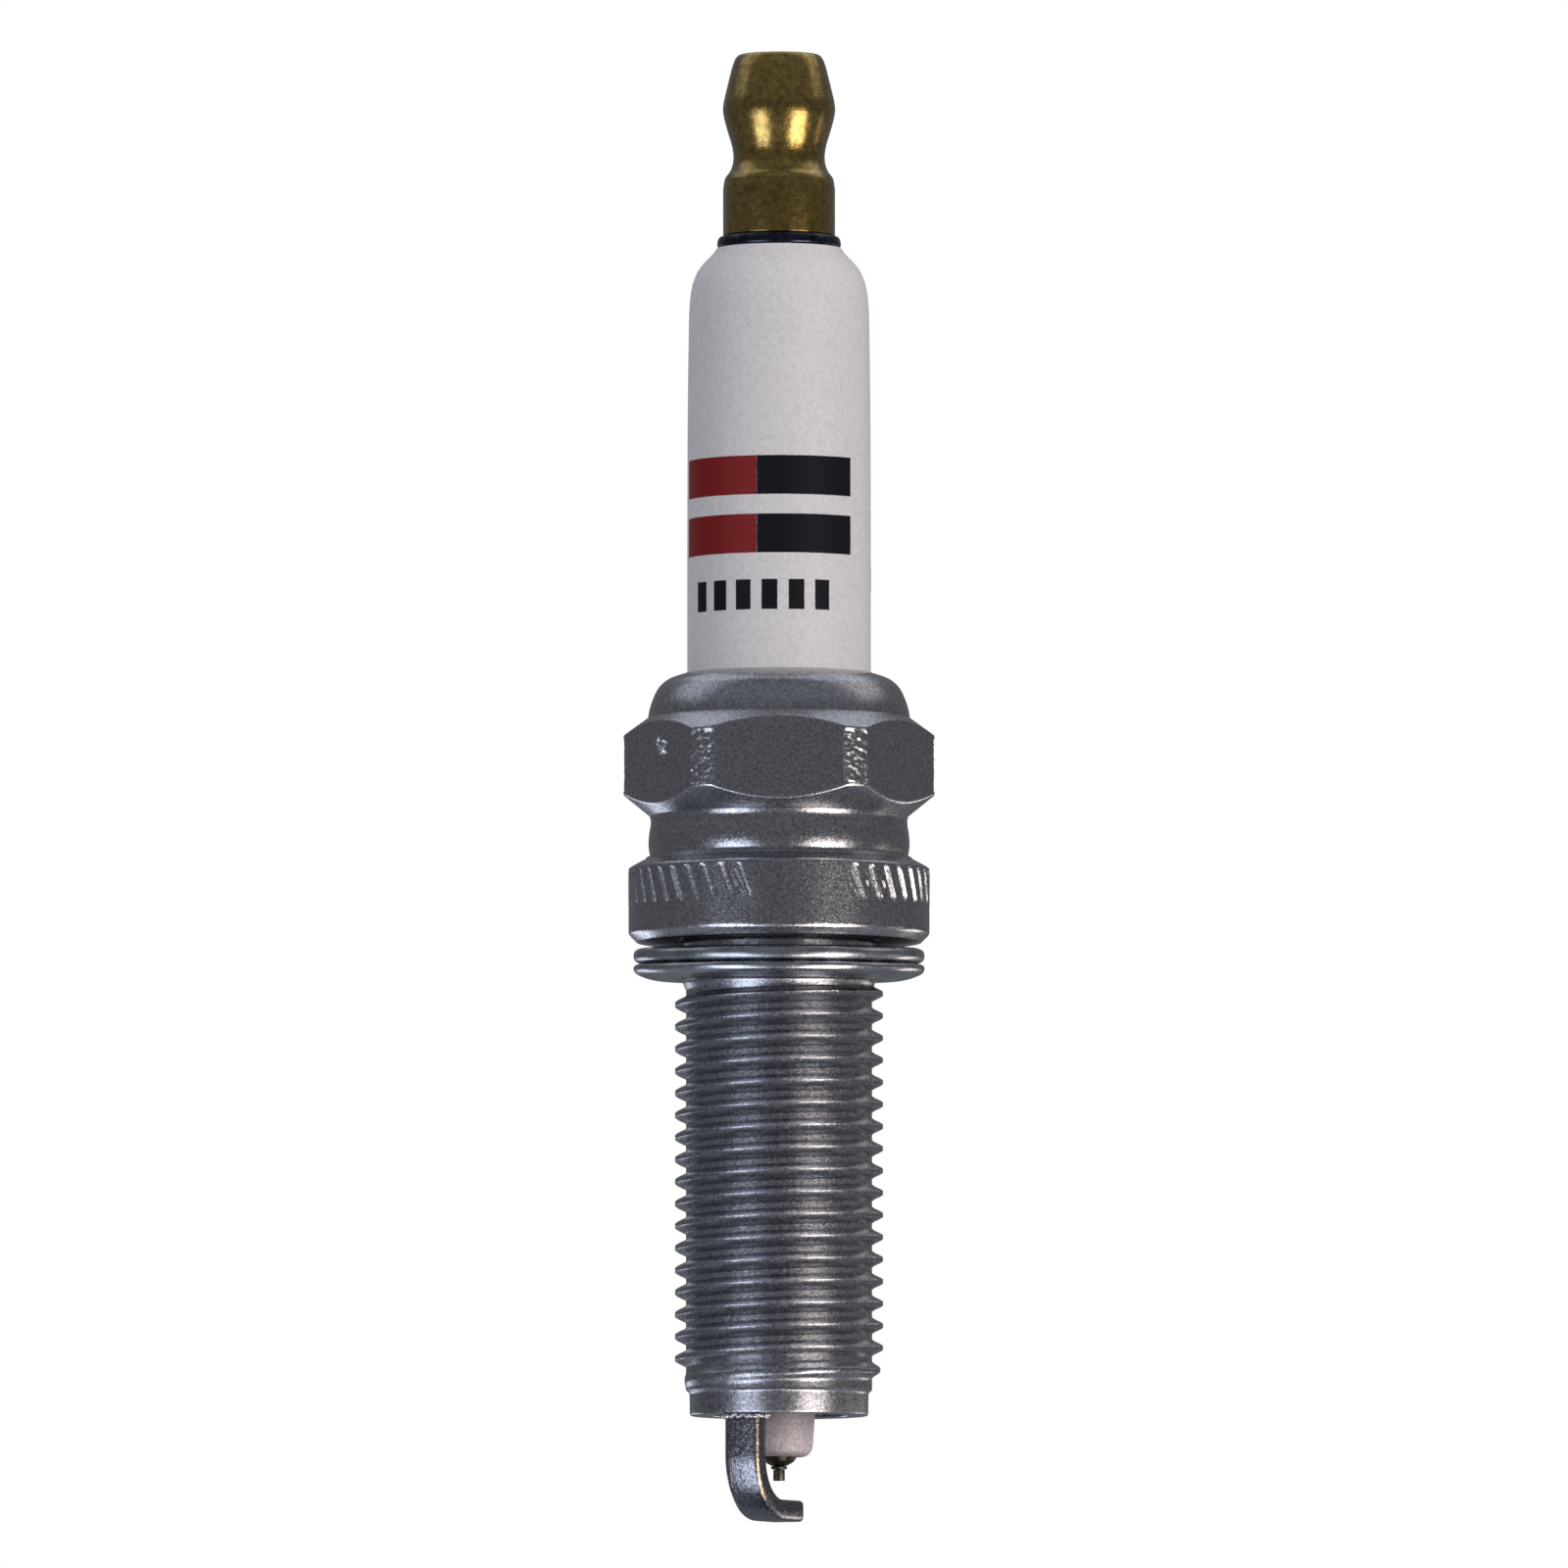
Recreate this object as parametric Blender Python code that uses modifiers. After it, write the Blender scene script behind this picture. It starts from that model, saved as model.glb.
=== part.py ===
"""Spark plug with a removable terminal nut, resistor core, captive gasket and J-shaped ground electrode.

The plug stands on +Z with its terminal up. The origin is on the axis at the flange's lower face.
All dimensions below are in millimetres; MM turns them into metres.
"""
import math

import bmesh
import bpy
from mathutils import Matrix, Vector

MM = 0.001
STEPS = 40
FINE_STEPS = 32
HIDDEN_STEPS = 24

# Shell
THREAD_PITCH = 1.25
THREAD_CREST_R = 5.88
THREAD_ROOT_R = 5.25
THREAD_CREST_FLAT = 0.20
THREAD_TOP_Z = -2.90
THREAD_TURNS = 17.6
THREAD_STEPS_PER_TURN = 20
SHELL_END_Z = -26.75
HEX_ACROSS_FLATS = 15.88
HEX_CORNER_R = 8.80
HEX_TOP_Z = 12.7
HEX_BOTTOM_Z = 7.14
FLANGE_R = 8.52
NOTCH_COUNT = 48
NOTCH_DEPTH = 0.22
NOTCH_LEAN_DEG = 20.0
PLAIN_SECTOR_DEG = (256.5, 296.0)
CRIMP_LIP_R = 5.25
CRIMP_LIP_Z = 15.2

# Gasket, which hangs with its front a little low
GASKET_TILT_DEG = 1.9

# Insulator
BARREL_R = 5.19
BARREL_TOP_Z = 39.37
NOSE_TIP_Z = -29.05
INSULATOR_BORE_R = 1.95
NOSE_BORE_R = 1.10

# Terminal
STUD_PITCH = 0.70
STUD_CREST_R = 1.95
STUD_ROOT_R = 1.54
STUD_TOP_Z = 49.6
NUT_BORE_R = 2.10
NUT_TOP_Z = 50.35
NUT_BOTTOM_Z = 40.05

# Electrodes
TIP_R = 0.33
TIP_END_Z = -30.4
STRAP_WIDTH = 2.15
STRAP_THICKNESS = 1.20
STRAP_ROOT_R = 4.30
STRAP_ROOT_Z = SHELL_END_Z - 0.05
STRAP_BEND_R = 3.0
STRAP_LOW_Z = -32.10
STRAP_PAST_AXIS = 1.00
STRAP_AZIMUTH_DEG = 244.0


def clear_scene() -> None:
    for old in list(bpy.data.objects):
        bpy.data.objects.remove(old, do_unlink=True)


def new_collection(name: str) -> bpy.types.Collection:
    found = bpy.data.collections.new(name)
    bpy.context.scene.collection.children.link(found)
    return found


clear_scene()
PLUG = new_collection("spark_plug")
CUTTERS = new_collection("cutters")


def material(name: str, colour: tuple, metallic: float, roughness: float) -> bpy.types.Material:
    made = bpy.data.materials.new(name)
    made.use_nodes = True
    shader = made.node_tree.nodes["Principled BSDF"]
    shader.inputs["Base Color"].default_value = (*colour, 1.0)
    shader.inputs["Metallic"].default_value = metallic
    shader.inputs["Roughness"].default_value = roughness
    return made


def add(name: str, bm: bmesh.types.BMesh, surface: bpy.types.Material) -> bpy.types.Object:
    """Make a named piece from a bmesh in millimetres."""
    bmesh.ops.scale(bm, vec=(MM, MM, MM), verts=bm.verts)
    mesh = bpy.data.meshes.new(name)
    bm.to_mesh(mesh)
    bm.free()
    piece = bpy.data.objects.new(name, mesh)
    piece.data.materials.append(surface)
    PLUG.objects.link(piece)
    return piece


def add_cutter(name: str, bm: bmesh.types.BMesh) -> bpy.types.Object:
    """Make a hidden piece that is only used by a Boolean."""
    bmesh.ops.scale(bm, vec=(MM, MM, MM), verts=bm.verts)
    mesh = bpy.data.meshes.new(name)
    bm.to_mesh(mesh)
    bm.free()
    piece = bpy.data.objects.new(name, mesh)
    CUTTERS.objects.link(piece)
    piece.hide_render = True
    piece.display_type = "WIRE"
    return piece


def turned_mesh(profile: list, closed: bool) -> bmesh.types.BMesh:
    """The outline of a turned piece: (radius, z) points down the outer side, then up the bore."""
    bm = bmesh.new()
    corners = [bm.verts.new((r, 0.0, z)) for r, z in profile]
    for first, second in zip(corners, corners[1:]):
        bm.edges.new((first, second))
    if closed:
        bm.edges.new((corners[-1], corners[0]))
    return bm


def spin_about_z(piece: bpy.types.Object, steps: int) -> None:
    turn = piece.modifiers.new("turned", "SCREW")
    turn.axis = "Z"
    turn.steps = steps
    turn.render_steps = steps
    turn.use_merge_vertices = True
    turn.merge_threshold = 0.000001


def turned(name: str, profile: list, surface: bpy.types.Material, steps: int = STEPS) -> bpy.types.Object:
    """A turned piece; a profile that starts and ends on the axis is solid, any other is a ring."""
    solid = profile[0][0] == 0.0 and profile[-1][0] == 0.0
    piece = add(name, turned_mesh(profile, not solid), surface)
    spin_about_z(piece, steps)
    return piece


def boolean(piece: bpy.types.Object, tool: bpy.types.Object, operation: str) -> None:
    step = piece.modifiers.new(tool.name, "BOOLEAN")
    step.operation = operation
    step.solver = "EXACT"
    step.object = tool


def helical_ridge(pitch: float, root_r: float, crest_r: float, crest_flat: float,
                  top_z: float, turns: float, steps_per_turn: int, fades: tuple) -> bmesh.types.BMesh:
    """A right-hand thread ridge that fades into its core; fades are the top and bottom run-outs in turns."""
    sunk = 0.10
    half_crest = crest_flat / 2
    half_base = half_crest + (crest_r - root_r + sunk) * math.tan(math.radians(30))
    bm = bmesh.new()
    low_r = root_r - sunk
    section = [(low_r, top_z - half_base), (crest_r, top_z - half_crest),
               (crest_r, top_z + half_crest), (low_r, top_z + half_base)]
    face = bm.faces.new([bm.verts.new((r, 0.0, z)) for r, z in section])
    steps = round(turns * steps_per_turn)
    bmesh.ops.spin(bm, geom=[face, *face.edges, *face.verts], cent=(0, 0, 0), axis=(0, 0, -1),
                   dvec=(0, 0, -pitch / steps_per_turn), angle=steps * 2 * math.pi / steps_per_turn,
                   steps=steps, use_merge=False, use_normal_flip=False, use_duplicate=False)
    boundary = [edge for edge in bm.edges if edge.is_boundary]
    if boundary:
        bmesh.ops.holes_fill(bm, edges=boundary, sides=4)
    for vert in bm.verts:
        radius = math.hypot(vert.co.x, vert.co.y)
        if radius < (root_r + crest_r) / 2:
            continue
        turned_by = (-math.atan2(vert.co.y, vert.co.x) / (2 * math.pi)) % 1.0
        along = (top_z - vert.co.z) / pitch
        travelled = turned_by + round(along - turned_by)
        share = min(1.0, travelled / fades[0], (turns - travelled) / fades[1])
        wanted = low_r + 0.03 + (crest_r - low_r - 0.03) * max(0.0, share)
        vert.co.x *= wanted / radius
        vert.co.y *= wanted / radius
    bmesh.ops.rotate(bm, cent=(0, 0, 0), matrix=Matrix.Rotation(math.radians(3.1), 3, "Z"), verts=bm.verts)
    bmesh.ops.recalc_face_normals(bm, faces=bm.faces)
    return bm


def box(bm: bmesh.types.BMesh, size: tuple, place: Matrix) -> None:
    made = bmesh.ops.create_cube(bm, size=1.0)
    bmesh.ops.scale(bm, vec=size, verts=made["verts"])
    bmesh.ops.transform(bm, matrix=place, verts=made["verts"])


def about_z(degrees: float) -> Matrix:
    return Matrix.Rotation(math.radians(degrees), 4, "Z")


def hex_cutter() -> bpy.types.Object:
    """Six blocks outside the hexagon's flats; two flats face -Y and +Y."""
    bm = bmesh.new()
    flat = HEX_ACROSS_FLATS / 2
    low_z = HEX_BOTTOM_Z - 0.2
    high_z = HEX_TOP_Z + 0.2
    for side in range(6):
        place = about_z(30 + 60 * side) @ Matrix.Translation((flat + 0.6, 0.0, (low_z + high_z) / 2))
        box(bm, (1.2, 7.7, high_z - low_z), place)
    return add_cutter("hex_cutter", bm)


def notch_cutter() -> bpy.types.Object:
    """Slanted bars that leave the stamped notches round the flange, except on its plain front."""
    bm = bmesh.new()
    lean = Matrix.Rotation(math.radians(NOTCH_LEAN_DEG), 4, "X")
    for index in range(NOTCH_COUNT):
        angle = 360 * (index + 0.25) / NOTCH_COUNT
        if PLAIN_SECTOR_DEG[0] < angle < PLAIN_SECTOR_DEG[1]:
            continue
        place = about_z(angle) @ Matrix.Translation((FLANGE_R, 0.0, 3.0)) @ lean
        box(bm, (2 * NOTCH_DEPTH, 0.26, 2.2), place)
    return add_cutter("notch_cutter", bm)


def strap_mesh(width: float, thickness: float, root_z: float, reach: float) -> bmesh.types.BMesh:
    """A rectangular bar that runs down from the shell and bends in over the axis."""
    bm = bmesh.new()
    half_w = width / 2
    half_t = thickness / 2
    bend_x = STRAP_ROOT_R - STRAP_BEND_R
    bend_z = STRAP_LOW_Z + STRAP_BEND_R
    corners = [(STRAP_ROOT_R + half_t, -half_w), (STRAP_ROOT_R + half_t, half_w),
               (STRAP_ROOT_R - half_t, half_w), (STRAP_ROOT_R - half_t, -half_w)]
    root = bm.faces.new([bm.verts.new((x, y, root_z)) for x, y in corners])

    def run_on(face: bmesh.types.BMFace, step: Vector) -> bmesh.types.BMFace:
        grown = bmesh.ops.extrude_discrete_faces(bm, faces=[face])["faces"][0]
        bmesh.ops.translate(bm, vec=step, verts=grown.verts)
        return grown

    end = run_on(root, Vector((0.0, 0.0, bend_z - root_z)))
    for _ in range(12):
        end = bmesh.ops.extrude_discrete_faces(bm, faces=[end])["faces"][0]
        bmesh.ops.rotate(bm, cent=(bend_x, 0.0, bend_z), verts=end.verts,
                         matrix=Matrix.Rotation(math.radians(90 / 12), 3, "Y"))
    run_on(end, Vector((-(bend_x + reach), 0.0, 0.0)))
    bmesh.ops.contextual_create(bm, geom=[e for e in bm.edges if e.is_boundary])
    bmesh.ops.recalc_face_normals(bm, faces=bm.faces)
    bmesh.ops.rotate(bm, cent=(0, 0, 0), verts=bm.verts,
                     matrix=Matrix.Rotation(math.radians(STRAP_AZIMUTH_DEG), 3, "Z"))
    return bm


STEEL = material("nickel_plated_steel", (0.55, 0.56, 0.58), 1.0, 0.30)
BRASS = material("turned_brass", (0.66, 0.52, 0.26), 1.0, 0.25)
RING = material("blued_steel_ring", (0.05, 0.05, 0.07), 1.0, 0.25)
STUD_STEEL = material("plated_stud_steel", (0.50, 0.50, 0.50), 1.0, 0.35)
GLAZE = material("glazed_alumina", (0.86, 0.85, 0.83), 0.0, 0.15)
GLASS_UPPER = material("upper_sealing_glass", (0.10, 0.09, 0.09), 0.0, 0.35)
GLASS_LOWER = material("lower_sealing_glass", (0.22, 0.12, 0.08), 0.2, 0.40)
RESISTOR = material("carbon_resistor_mix", (0.03, 0.03, 0.03), 0.0, 0.60)
NICKEL = material("nickel_alloy", (0.52, 0.49, 0.44), 1.0, 0.38)
COPPER = material("electrode_copper", (0.80, 0.40, 0.26), 1.0, 0.30)
WELD = material("laser_weld", (0.42, 0.40, 0.38), 1.0, 0.45)
IRIDIUM = material("iridium_alloy", (0.62, 0.62, 0.63), 1.0, 0.30)
WASHER = material("seat_washer_steel", (0.45, 0.45, 0.46), 1.0, 0.40)
LOWER_WIRE = material("lower_packing_steel", (0.40, 0.40, 0.42), 1.0, 0.40)
TALC = material("pressed_talc", (0.82, 0.82, 0.80), 0.0, 0.85)
UPPER_WIRE = material("upper_packing_steel", (0.42, 0.42, 0.44), 1.0, 0.40)
CRUSH = material("folded_gasket_steel", (0.58, 0.58, 0.60), 1.0, 0.33)
STRAP = material("ground_strap_nickel", (0.50, 0.48, 0.45), 1.0, 0.36)
STRAP_COPPER = material("ground_strap_copper", (0.78, 0.40, 0.27), 1.0, 0.32)
SPATTER = material("resistance_weld_flash", (0.46, 0.46, 0.47), 1.0, 0.45)


def build_shell() -> None:
    """Steel shell: crimp lip, hexagon, neck, flange, gasket neck, thread and stepped bore."""
    outside = [
        (CRIMP_LIP_R, CRIMP_LIP_Z), (5.80, 15.05), (6.42, 14.78), (6.85, 14.35),
        (7.16, 13.7), (7.36, 12.95), (7.40, HEX_TOP_Z),
        (8.75, 11.72), (HEX_CORNER_R, 8.36), (7.30, HEX_BOTTOM_Z), (7.25, 6.80), (7.37, 5.7), (7.31, 4.8),
        (8.48, 4.18), (FLANGE_R, 3.6), (FLANGE_R, 0.46), (8.30, 0.20), (8.08, 0.0),
        (5.62, 0.0), (5.38, -0.24), (5.38, -2.10), (THREAD_ROOT_R, -2.45),
        (THREAD_ROOT_R, -25.25), (5.04, -25.5), (5.03, -26.63), (4.93, SHELL_END_Z),
        (3.90, SHELL_END_Z), (3.90, -13.10), (4.45, -12.55), (4.45, -1.0),
        (6.10, 0.65), (6.10, 13.30), (5.92, 13.88), (5.29, 14.62),
    ]
    shell = turned("shell", outside, STEEL)
    boolean(shell, hex_cutter(), "DIFFERENCE")
    boolean(shell, notch_cutter(), "DIFFERENCE")
    ridge = add_cutter("shell_thread_ridge", helical_ridge(
        THREAD_PITCH, THREAD_ROOT_R, THREAD_CREST_R, THREAD_CREST_FLAT, THREAD_TOP_Z,
        THREAD_TURNS, THREAD_STEPS_PER_TURN, (0.35, 0.7)))
    boolean(shell, ridge, "UNION")


def build_insulator() -> None:
    """Glazed alumina: rounded barrel, crimped shoulder, seat cone and nose."""
    profile = [
        (3.47, BARREL_TOP_Z), (3.58, 39.28), (4.07, 38.70), (4.46, 38.24),
        (4.76, 37.70), (4.94, 37.1), (5.06, 36.2), (5.10, 35.0),
        (5.18, 27.9), (BARREL_R, 15.7), (BARREL_R, 9.50), (5.94, 8.60),
        (5.98, 8.40), (5.98, 1.30), (4.50, -0.35), (4.33, -0.80),
        (4.33, -12.175), (3.42, -13.085), (2.05, -26.5), (1.90, -28.45),
        (1.76, -28.85), (1.40, NOSE_TIP_Z),
        (1.22, NOSE_TIP_Z), (NOSE_BORE_R, -28.93), (NOSE_BORE_R, -12.75), (INSULATOR_BORE_R, -11.90),
        (INSULATOR_BORE_R, 39.17), (2.15, BARREL_TOP_Z),
    ]
    turned("insulator", profile, GLAZE)


def build_terminal() -> None:
    """Threaded stud, the sealing ring on the insulator's top, and the waisted terminal nut."""
    stud_profile = [
        (0.0, STUD_TOP_Z), (1.25, STUD_TOP_Z), (STUD_ROOT_R, 49.3), (STUD_ROOT_R, 40.6), (1.80, 40.3),
        (1.80, 9.4), (1.45, 9.1), (1.45, 5.1), (1.25, 4.9), (0.0, 4.9),
    ]
    stud = turned("terminal_stud", stud_profile, STUD_STEEL, HIDDEN_STEPS)
    ridge = add_cutter("stud_thread_ridge", helical_ridge(
        STUD_PITCH, STUD_ROOT_R, STUD_CREST_R, 0.10, 49.0, 11.6, 12, (0.1, 0.1)))
    boolean(stud, ridge, "UNION")

    ring_profile = [
        (3.30, 39.99), (3.44, 39.90), (3.51, 39.62), (3.48, 39.43), (2.20, 39.43), (2.20, 39.99),
    ]
    turned("terminal_seal_ring", ring_profile, RING, FINE_STEPS)

    nut_profile = [
        (2.36, NUT_TOP_Z), (2.52, 50.22), (2.68, 49.6), (2.91, 48.67), (3.09, 47.9), (3.18, 47.2),
        (3.10, 46.7), (2.91, 46.0), (2.69, 45.3), (2.59, 44.6), (2.62, 44.15),
        (3.03, 43.38), (3.17, 42.7), (3.17, 40.13), (3.09, NUT_BOTTOM_Z),
        (2.30, NUT_BOTTOM_Z), (NUT_BORE_R, 40.25), (NUT_BORE_R, 50.22), (2.20, NUT_TOP_Z),
    ]
    turned("terminal_nut", nut_profile, BRASS, FINE_STEPS)


def build_core() -> None:
    """The conducting stack in the insulator: glass seal, resistor, glass seal, electrode, copper, tip."""
    fill_r = INSULATOR_BORE_R - 0.06
    turned("upper_glass_seal", [
        (0.0, 4.8), (1.30, 4.8), (1.52, 5.02), (1.52, 7.3), (fill_r, 7.3), (fill_r, 3.1), (0.0, 3.1)],
        GLASS_UPPER, HIDDEN_STEPS)
    turned("resistor_core", [(0.0, 3.0), (fill_r, 3.0), (fill_r, -5.9), (0.0, -5.9)], RESISTOR, HIDDEN_STEPS)
    turned("lower_glass_seal", [(0.0, -6.0), (fill_r, -6.0), (fill_r, -10.8), (0.0, -10.8)], GLASS_LOWER, HIDDEN_STEPS)
    electrode_profile = [
        (0.0, -27.2), (0.60, -26.9), (0.60, -10.9), (1.55, -10.9), (1.84, -11.1), (1.84, -11.85),
        (1.04, -12.72), (1.04, -28.6), (0.99, NOSE_TIP_Z), (0.82, -29.30), (0.46, -29.55), (0.0, -29.55),
    ]
    turned("center_electrode", electrode_profile, NICKEL, HIDDEN_STEPS)
    turned("center_electrode_core", [
        (0.0, -10.92), (0.55, -10.92), (0.55, -26.82), (0.0, -27.12)], COPPER, HIDDEN_STEPS)
    turned("tip_weld_bead", [
        (0.0, -29.58), (0.44, -29.58), (0.47, -29.66), (0.42, -29.76), (0.0, -29.76)], WELD, HIDDEN_STEPS)
    turned("iridium_tip", [
        (0.0, -29.79), (TIP_R, -29.79), (TIP_R, TIP_END_Z + 0.02), (TIP_R - 0.02, TIP_END_Z), (0.0, TIP_END_Z)],
        IRIDIUM, HIDDEN_STEPS)


def wire_ring(name: str, ring_r: float, z: float, wire_r: float, surface: bpy.types.Material) -> None:
    """A closed ring of round wire."""
    outline = [(ring_r + wire_r * math.cos(a), z + wire_r * math.sin(a))
               for a in [math.radians(90 - 45 * k) for k in range(8)]]
    turned(name, outline, surface, HIDDEN_STEPS)


def build_packing() -> None:
    """What seals the insulator in the shell: seat washer, wire rings and pressed talc."""
    turned("lower_seat_washer", [(4.38, -12.196), (4.38, -12.549), (3.96, -12.969), (3.96, -12.616)], WASHER, STEPS)
    wire_ring("lower_packing_ring", 5.65, 9.68, 0.33, LOWER_WIRE)
    turned("talc_fill", [(6.04, 12.92), (6.04, 10.10), (5.30, 10.10), (5.30, 12.92)], TALC, HIDDEN_STEPS)
    wire_ring("upper_packing_ring", 5.62, 13.34, 0.32, UPPER_WIRE)


def build_gasket() -> None:
    """Captive crush gasket, folded from sheet into two layers."""
    profile = [
        (7.80, -0.30), (8.10, -0.37), (8.22, -0.56), (8.22, -0.92), (8.14, -1.10), (7.80, -1.16),
        (7.80, -1.22), (8.12, -1.28), (8.22, -1.44), (8.16, -1.68), (7.90, -1.88), (7.40, -2.06),
        (6.80, -2.20), (6.05, -2.20), (5.80, -2.08), (5.66, -1.80), (5.66, -0.80), (5.88, -0.42), (6.30, -0.30),
    ]
    gasket = turned("gasket", profile, CRUSH, FINE_STEPS)
    gasket.rotation_euler.x = math.radians(GASKET_TILT_DEG)


def build_ground_electrode() -> None:
    """J-shaped strap with a copper core, and its weld flash on the shell end."""
    strap = add("ground_electrode", strap_mesh(STRAP_WIDTH, STRAP_THICKNESS, STRAP_ROOT_Z, STRAP_PAST_AXIS), STRAP)
    rounding = strap.modifiers.new("rounding", "BEVEL")
    rounding.width = 0.22 * MM
    rounding.segments = 2
    rounding.limit_method = "ANGLE"
    rounding.angle_limit = math.radians(50)
    channel = add_cutter("strap_channel", strap_mesh(1.10, 0.50, STRAP_ROOT_Z + 0.3, -0.5))
    boolean(strap, channel, "DIFFERENCE")
    core = strap_mesh(1.00, 0.40, STRAP_ROOT_Z - 0.03, -0.6)
    add("ground_electrode_core", core, STRAP_COPPER)

    outer = bmesh.new()
    place = about_z(STRAP_AZIMUTH_DEG) @ Matrix.Translation((4.33, 0.0, SHELL_END_Z - 0.24))
    box(outer, (1.62, 2.72, 0.36), place)
    flash = add("ground_electrode_weld", outer, SPATTER)
    soft = flash.modifiers.new("rounding", "BEVEL")
    soft.width = 0.12 * MM
    soft.segments = 2
    inner = bmesh.new()
    box(inner, (STRAP_THICKNESS + 0.10, STRAP_WIDTH + 0.10, 1.2),
        about_z(STRAP_AZIMUTH_DEG) @ Matrix.Translation((STRAP_ROOT_R, 0.0, SHELL_END_Z - 0.24)))
    boolean(flash, add_cutter("flash_opening", inner), "DIFFERENCE")


build_shell()
build_insulator()
build_terminal()
build_core()
build_packing()
build_gasket()
build_ground_electrode()
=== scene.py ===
"""Spark plug: finished surfaces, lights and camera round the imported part.

The part stands on +Z with its terminal up and its origin on the axis at the flange's lower face.
Sizes in the classes are millimetres; meshes are in metres, and MM turns one into the other.
"""
from __future__ import annotations

import logging
import math
import random
from collections.abc import Callable
from dataclasses import dataclass
from enum import Enum
from functools import partial

import bmesh
import bpy
from mathutils import Matrix, Vector, noise

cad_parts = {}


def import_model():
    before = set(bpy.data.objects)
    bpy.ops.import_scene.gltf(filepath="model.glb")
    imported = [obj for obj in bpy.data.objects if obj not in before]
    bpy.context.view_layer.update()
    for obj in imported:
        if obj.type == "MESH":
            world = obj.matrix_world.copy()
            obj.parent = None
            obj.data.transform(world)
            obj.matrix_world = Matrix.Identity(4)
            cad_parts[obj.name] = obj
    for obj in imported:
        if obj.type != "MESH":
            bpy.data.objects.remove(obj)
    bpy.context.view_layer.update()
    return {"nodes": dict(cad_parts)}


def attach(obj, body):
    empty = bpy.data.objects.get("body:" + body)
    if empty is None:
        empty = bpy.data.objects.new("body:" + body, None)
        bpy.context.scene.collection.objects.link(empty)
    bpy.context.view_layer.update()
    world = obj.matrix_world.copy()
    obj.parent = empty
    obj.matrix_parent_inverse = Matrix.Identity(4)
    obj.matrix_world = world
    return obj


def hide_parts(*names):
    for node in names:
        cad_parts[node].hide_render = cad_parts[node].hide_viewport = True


MM = 0.001
WELD_DISTANCE = 0.0005
LOG = logging.getLogger("spark_plug")

Ring = list[bmesh.types.BMVert]
Outline = list[tuple[float, float]]
Spot = Callable[[float], tuple[float, float, float]]
Socket = bpy.types.NodeSocket
Tree = bpy.types.NodeTree
Thing = bpy.types.Object


# ---------------------------------------------------------------- colour and node helpers


def linear(code: str) -> tuple[float, float, float, float]:
    """Turn an sRGB hex colour into a linear one.

    Args:
        code: Six hex digits, such as "c8b46a".

    Returns:
        Red, green, blue and alpha for a shader socket.
    """
    parts = [int(code[k:k + 2], 16) / 255 for k in (0, 2, 4)]
    turned = [p / 12.92 if p <= 0.04045 else ((p + 0.055) / 1.055) ** 2.4 for p in parts]
    return (turned[0], turned[1], turned[2], 1.0)


def add_node(tree: Tree, kind: str, links: dict | None = None, **settings) -> bpy.types.Node:
    """Add a node, set its properties and sockets, and link its inputs.

    Args:
        tree: The node tree to add to.
        kind: The node's Blender type, such as "ShaderNodeTexNoise".
        links: Input name or index to an output socket that feeds it, or to a plain value.
        **settings: Properties of the node itself.

    Returns:
        The new node.
    """
    node = tree.nodes.new(kind)
    for name, value in settings.items():
        setattr(node, name, value)
    for name, value in (links or {}).items():
        if isinstance(value, Socket):
            tree.links.new(value, node.inputs[name])
        else:
            node.inputs[name].default_value = value
    return node


def map_range(tree: Tree, value: Socket, source: tuple[float, float],
              target: tuple[float, float]) -> Socket:
    """Carry a value from one range to another, held at both ends.

    Args:
        tree: The node tree to add to.
        value: The value to carry.
        source: The range it comes from.
        target: The range it goes to.

    Returns:
        The new value's output.
    """
    node = add_node(tree, "ShaderNodeMapRange", {"Value": value, "From Min": source[0], "From Max": source[1],
                                                 "To Min": target[0], "To Max": target[1]})
    return node.outputs["Result"]


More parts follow.
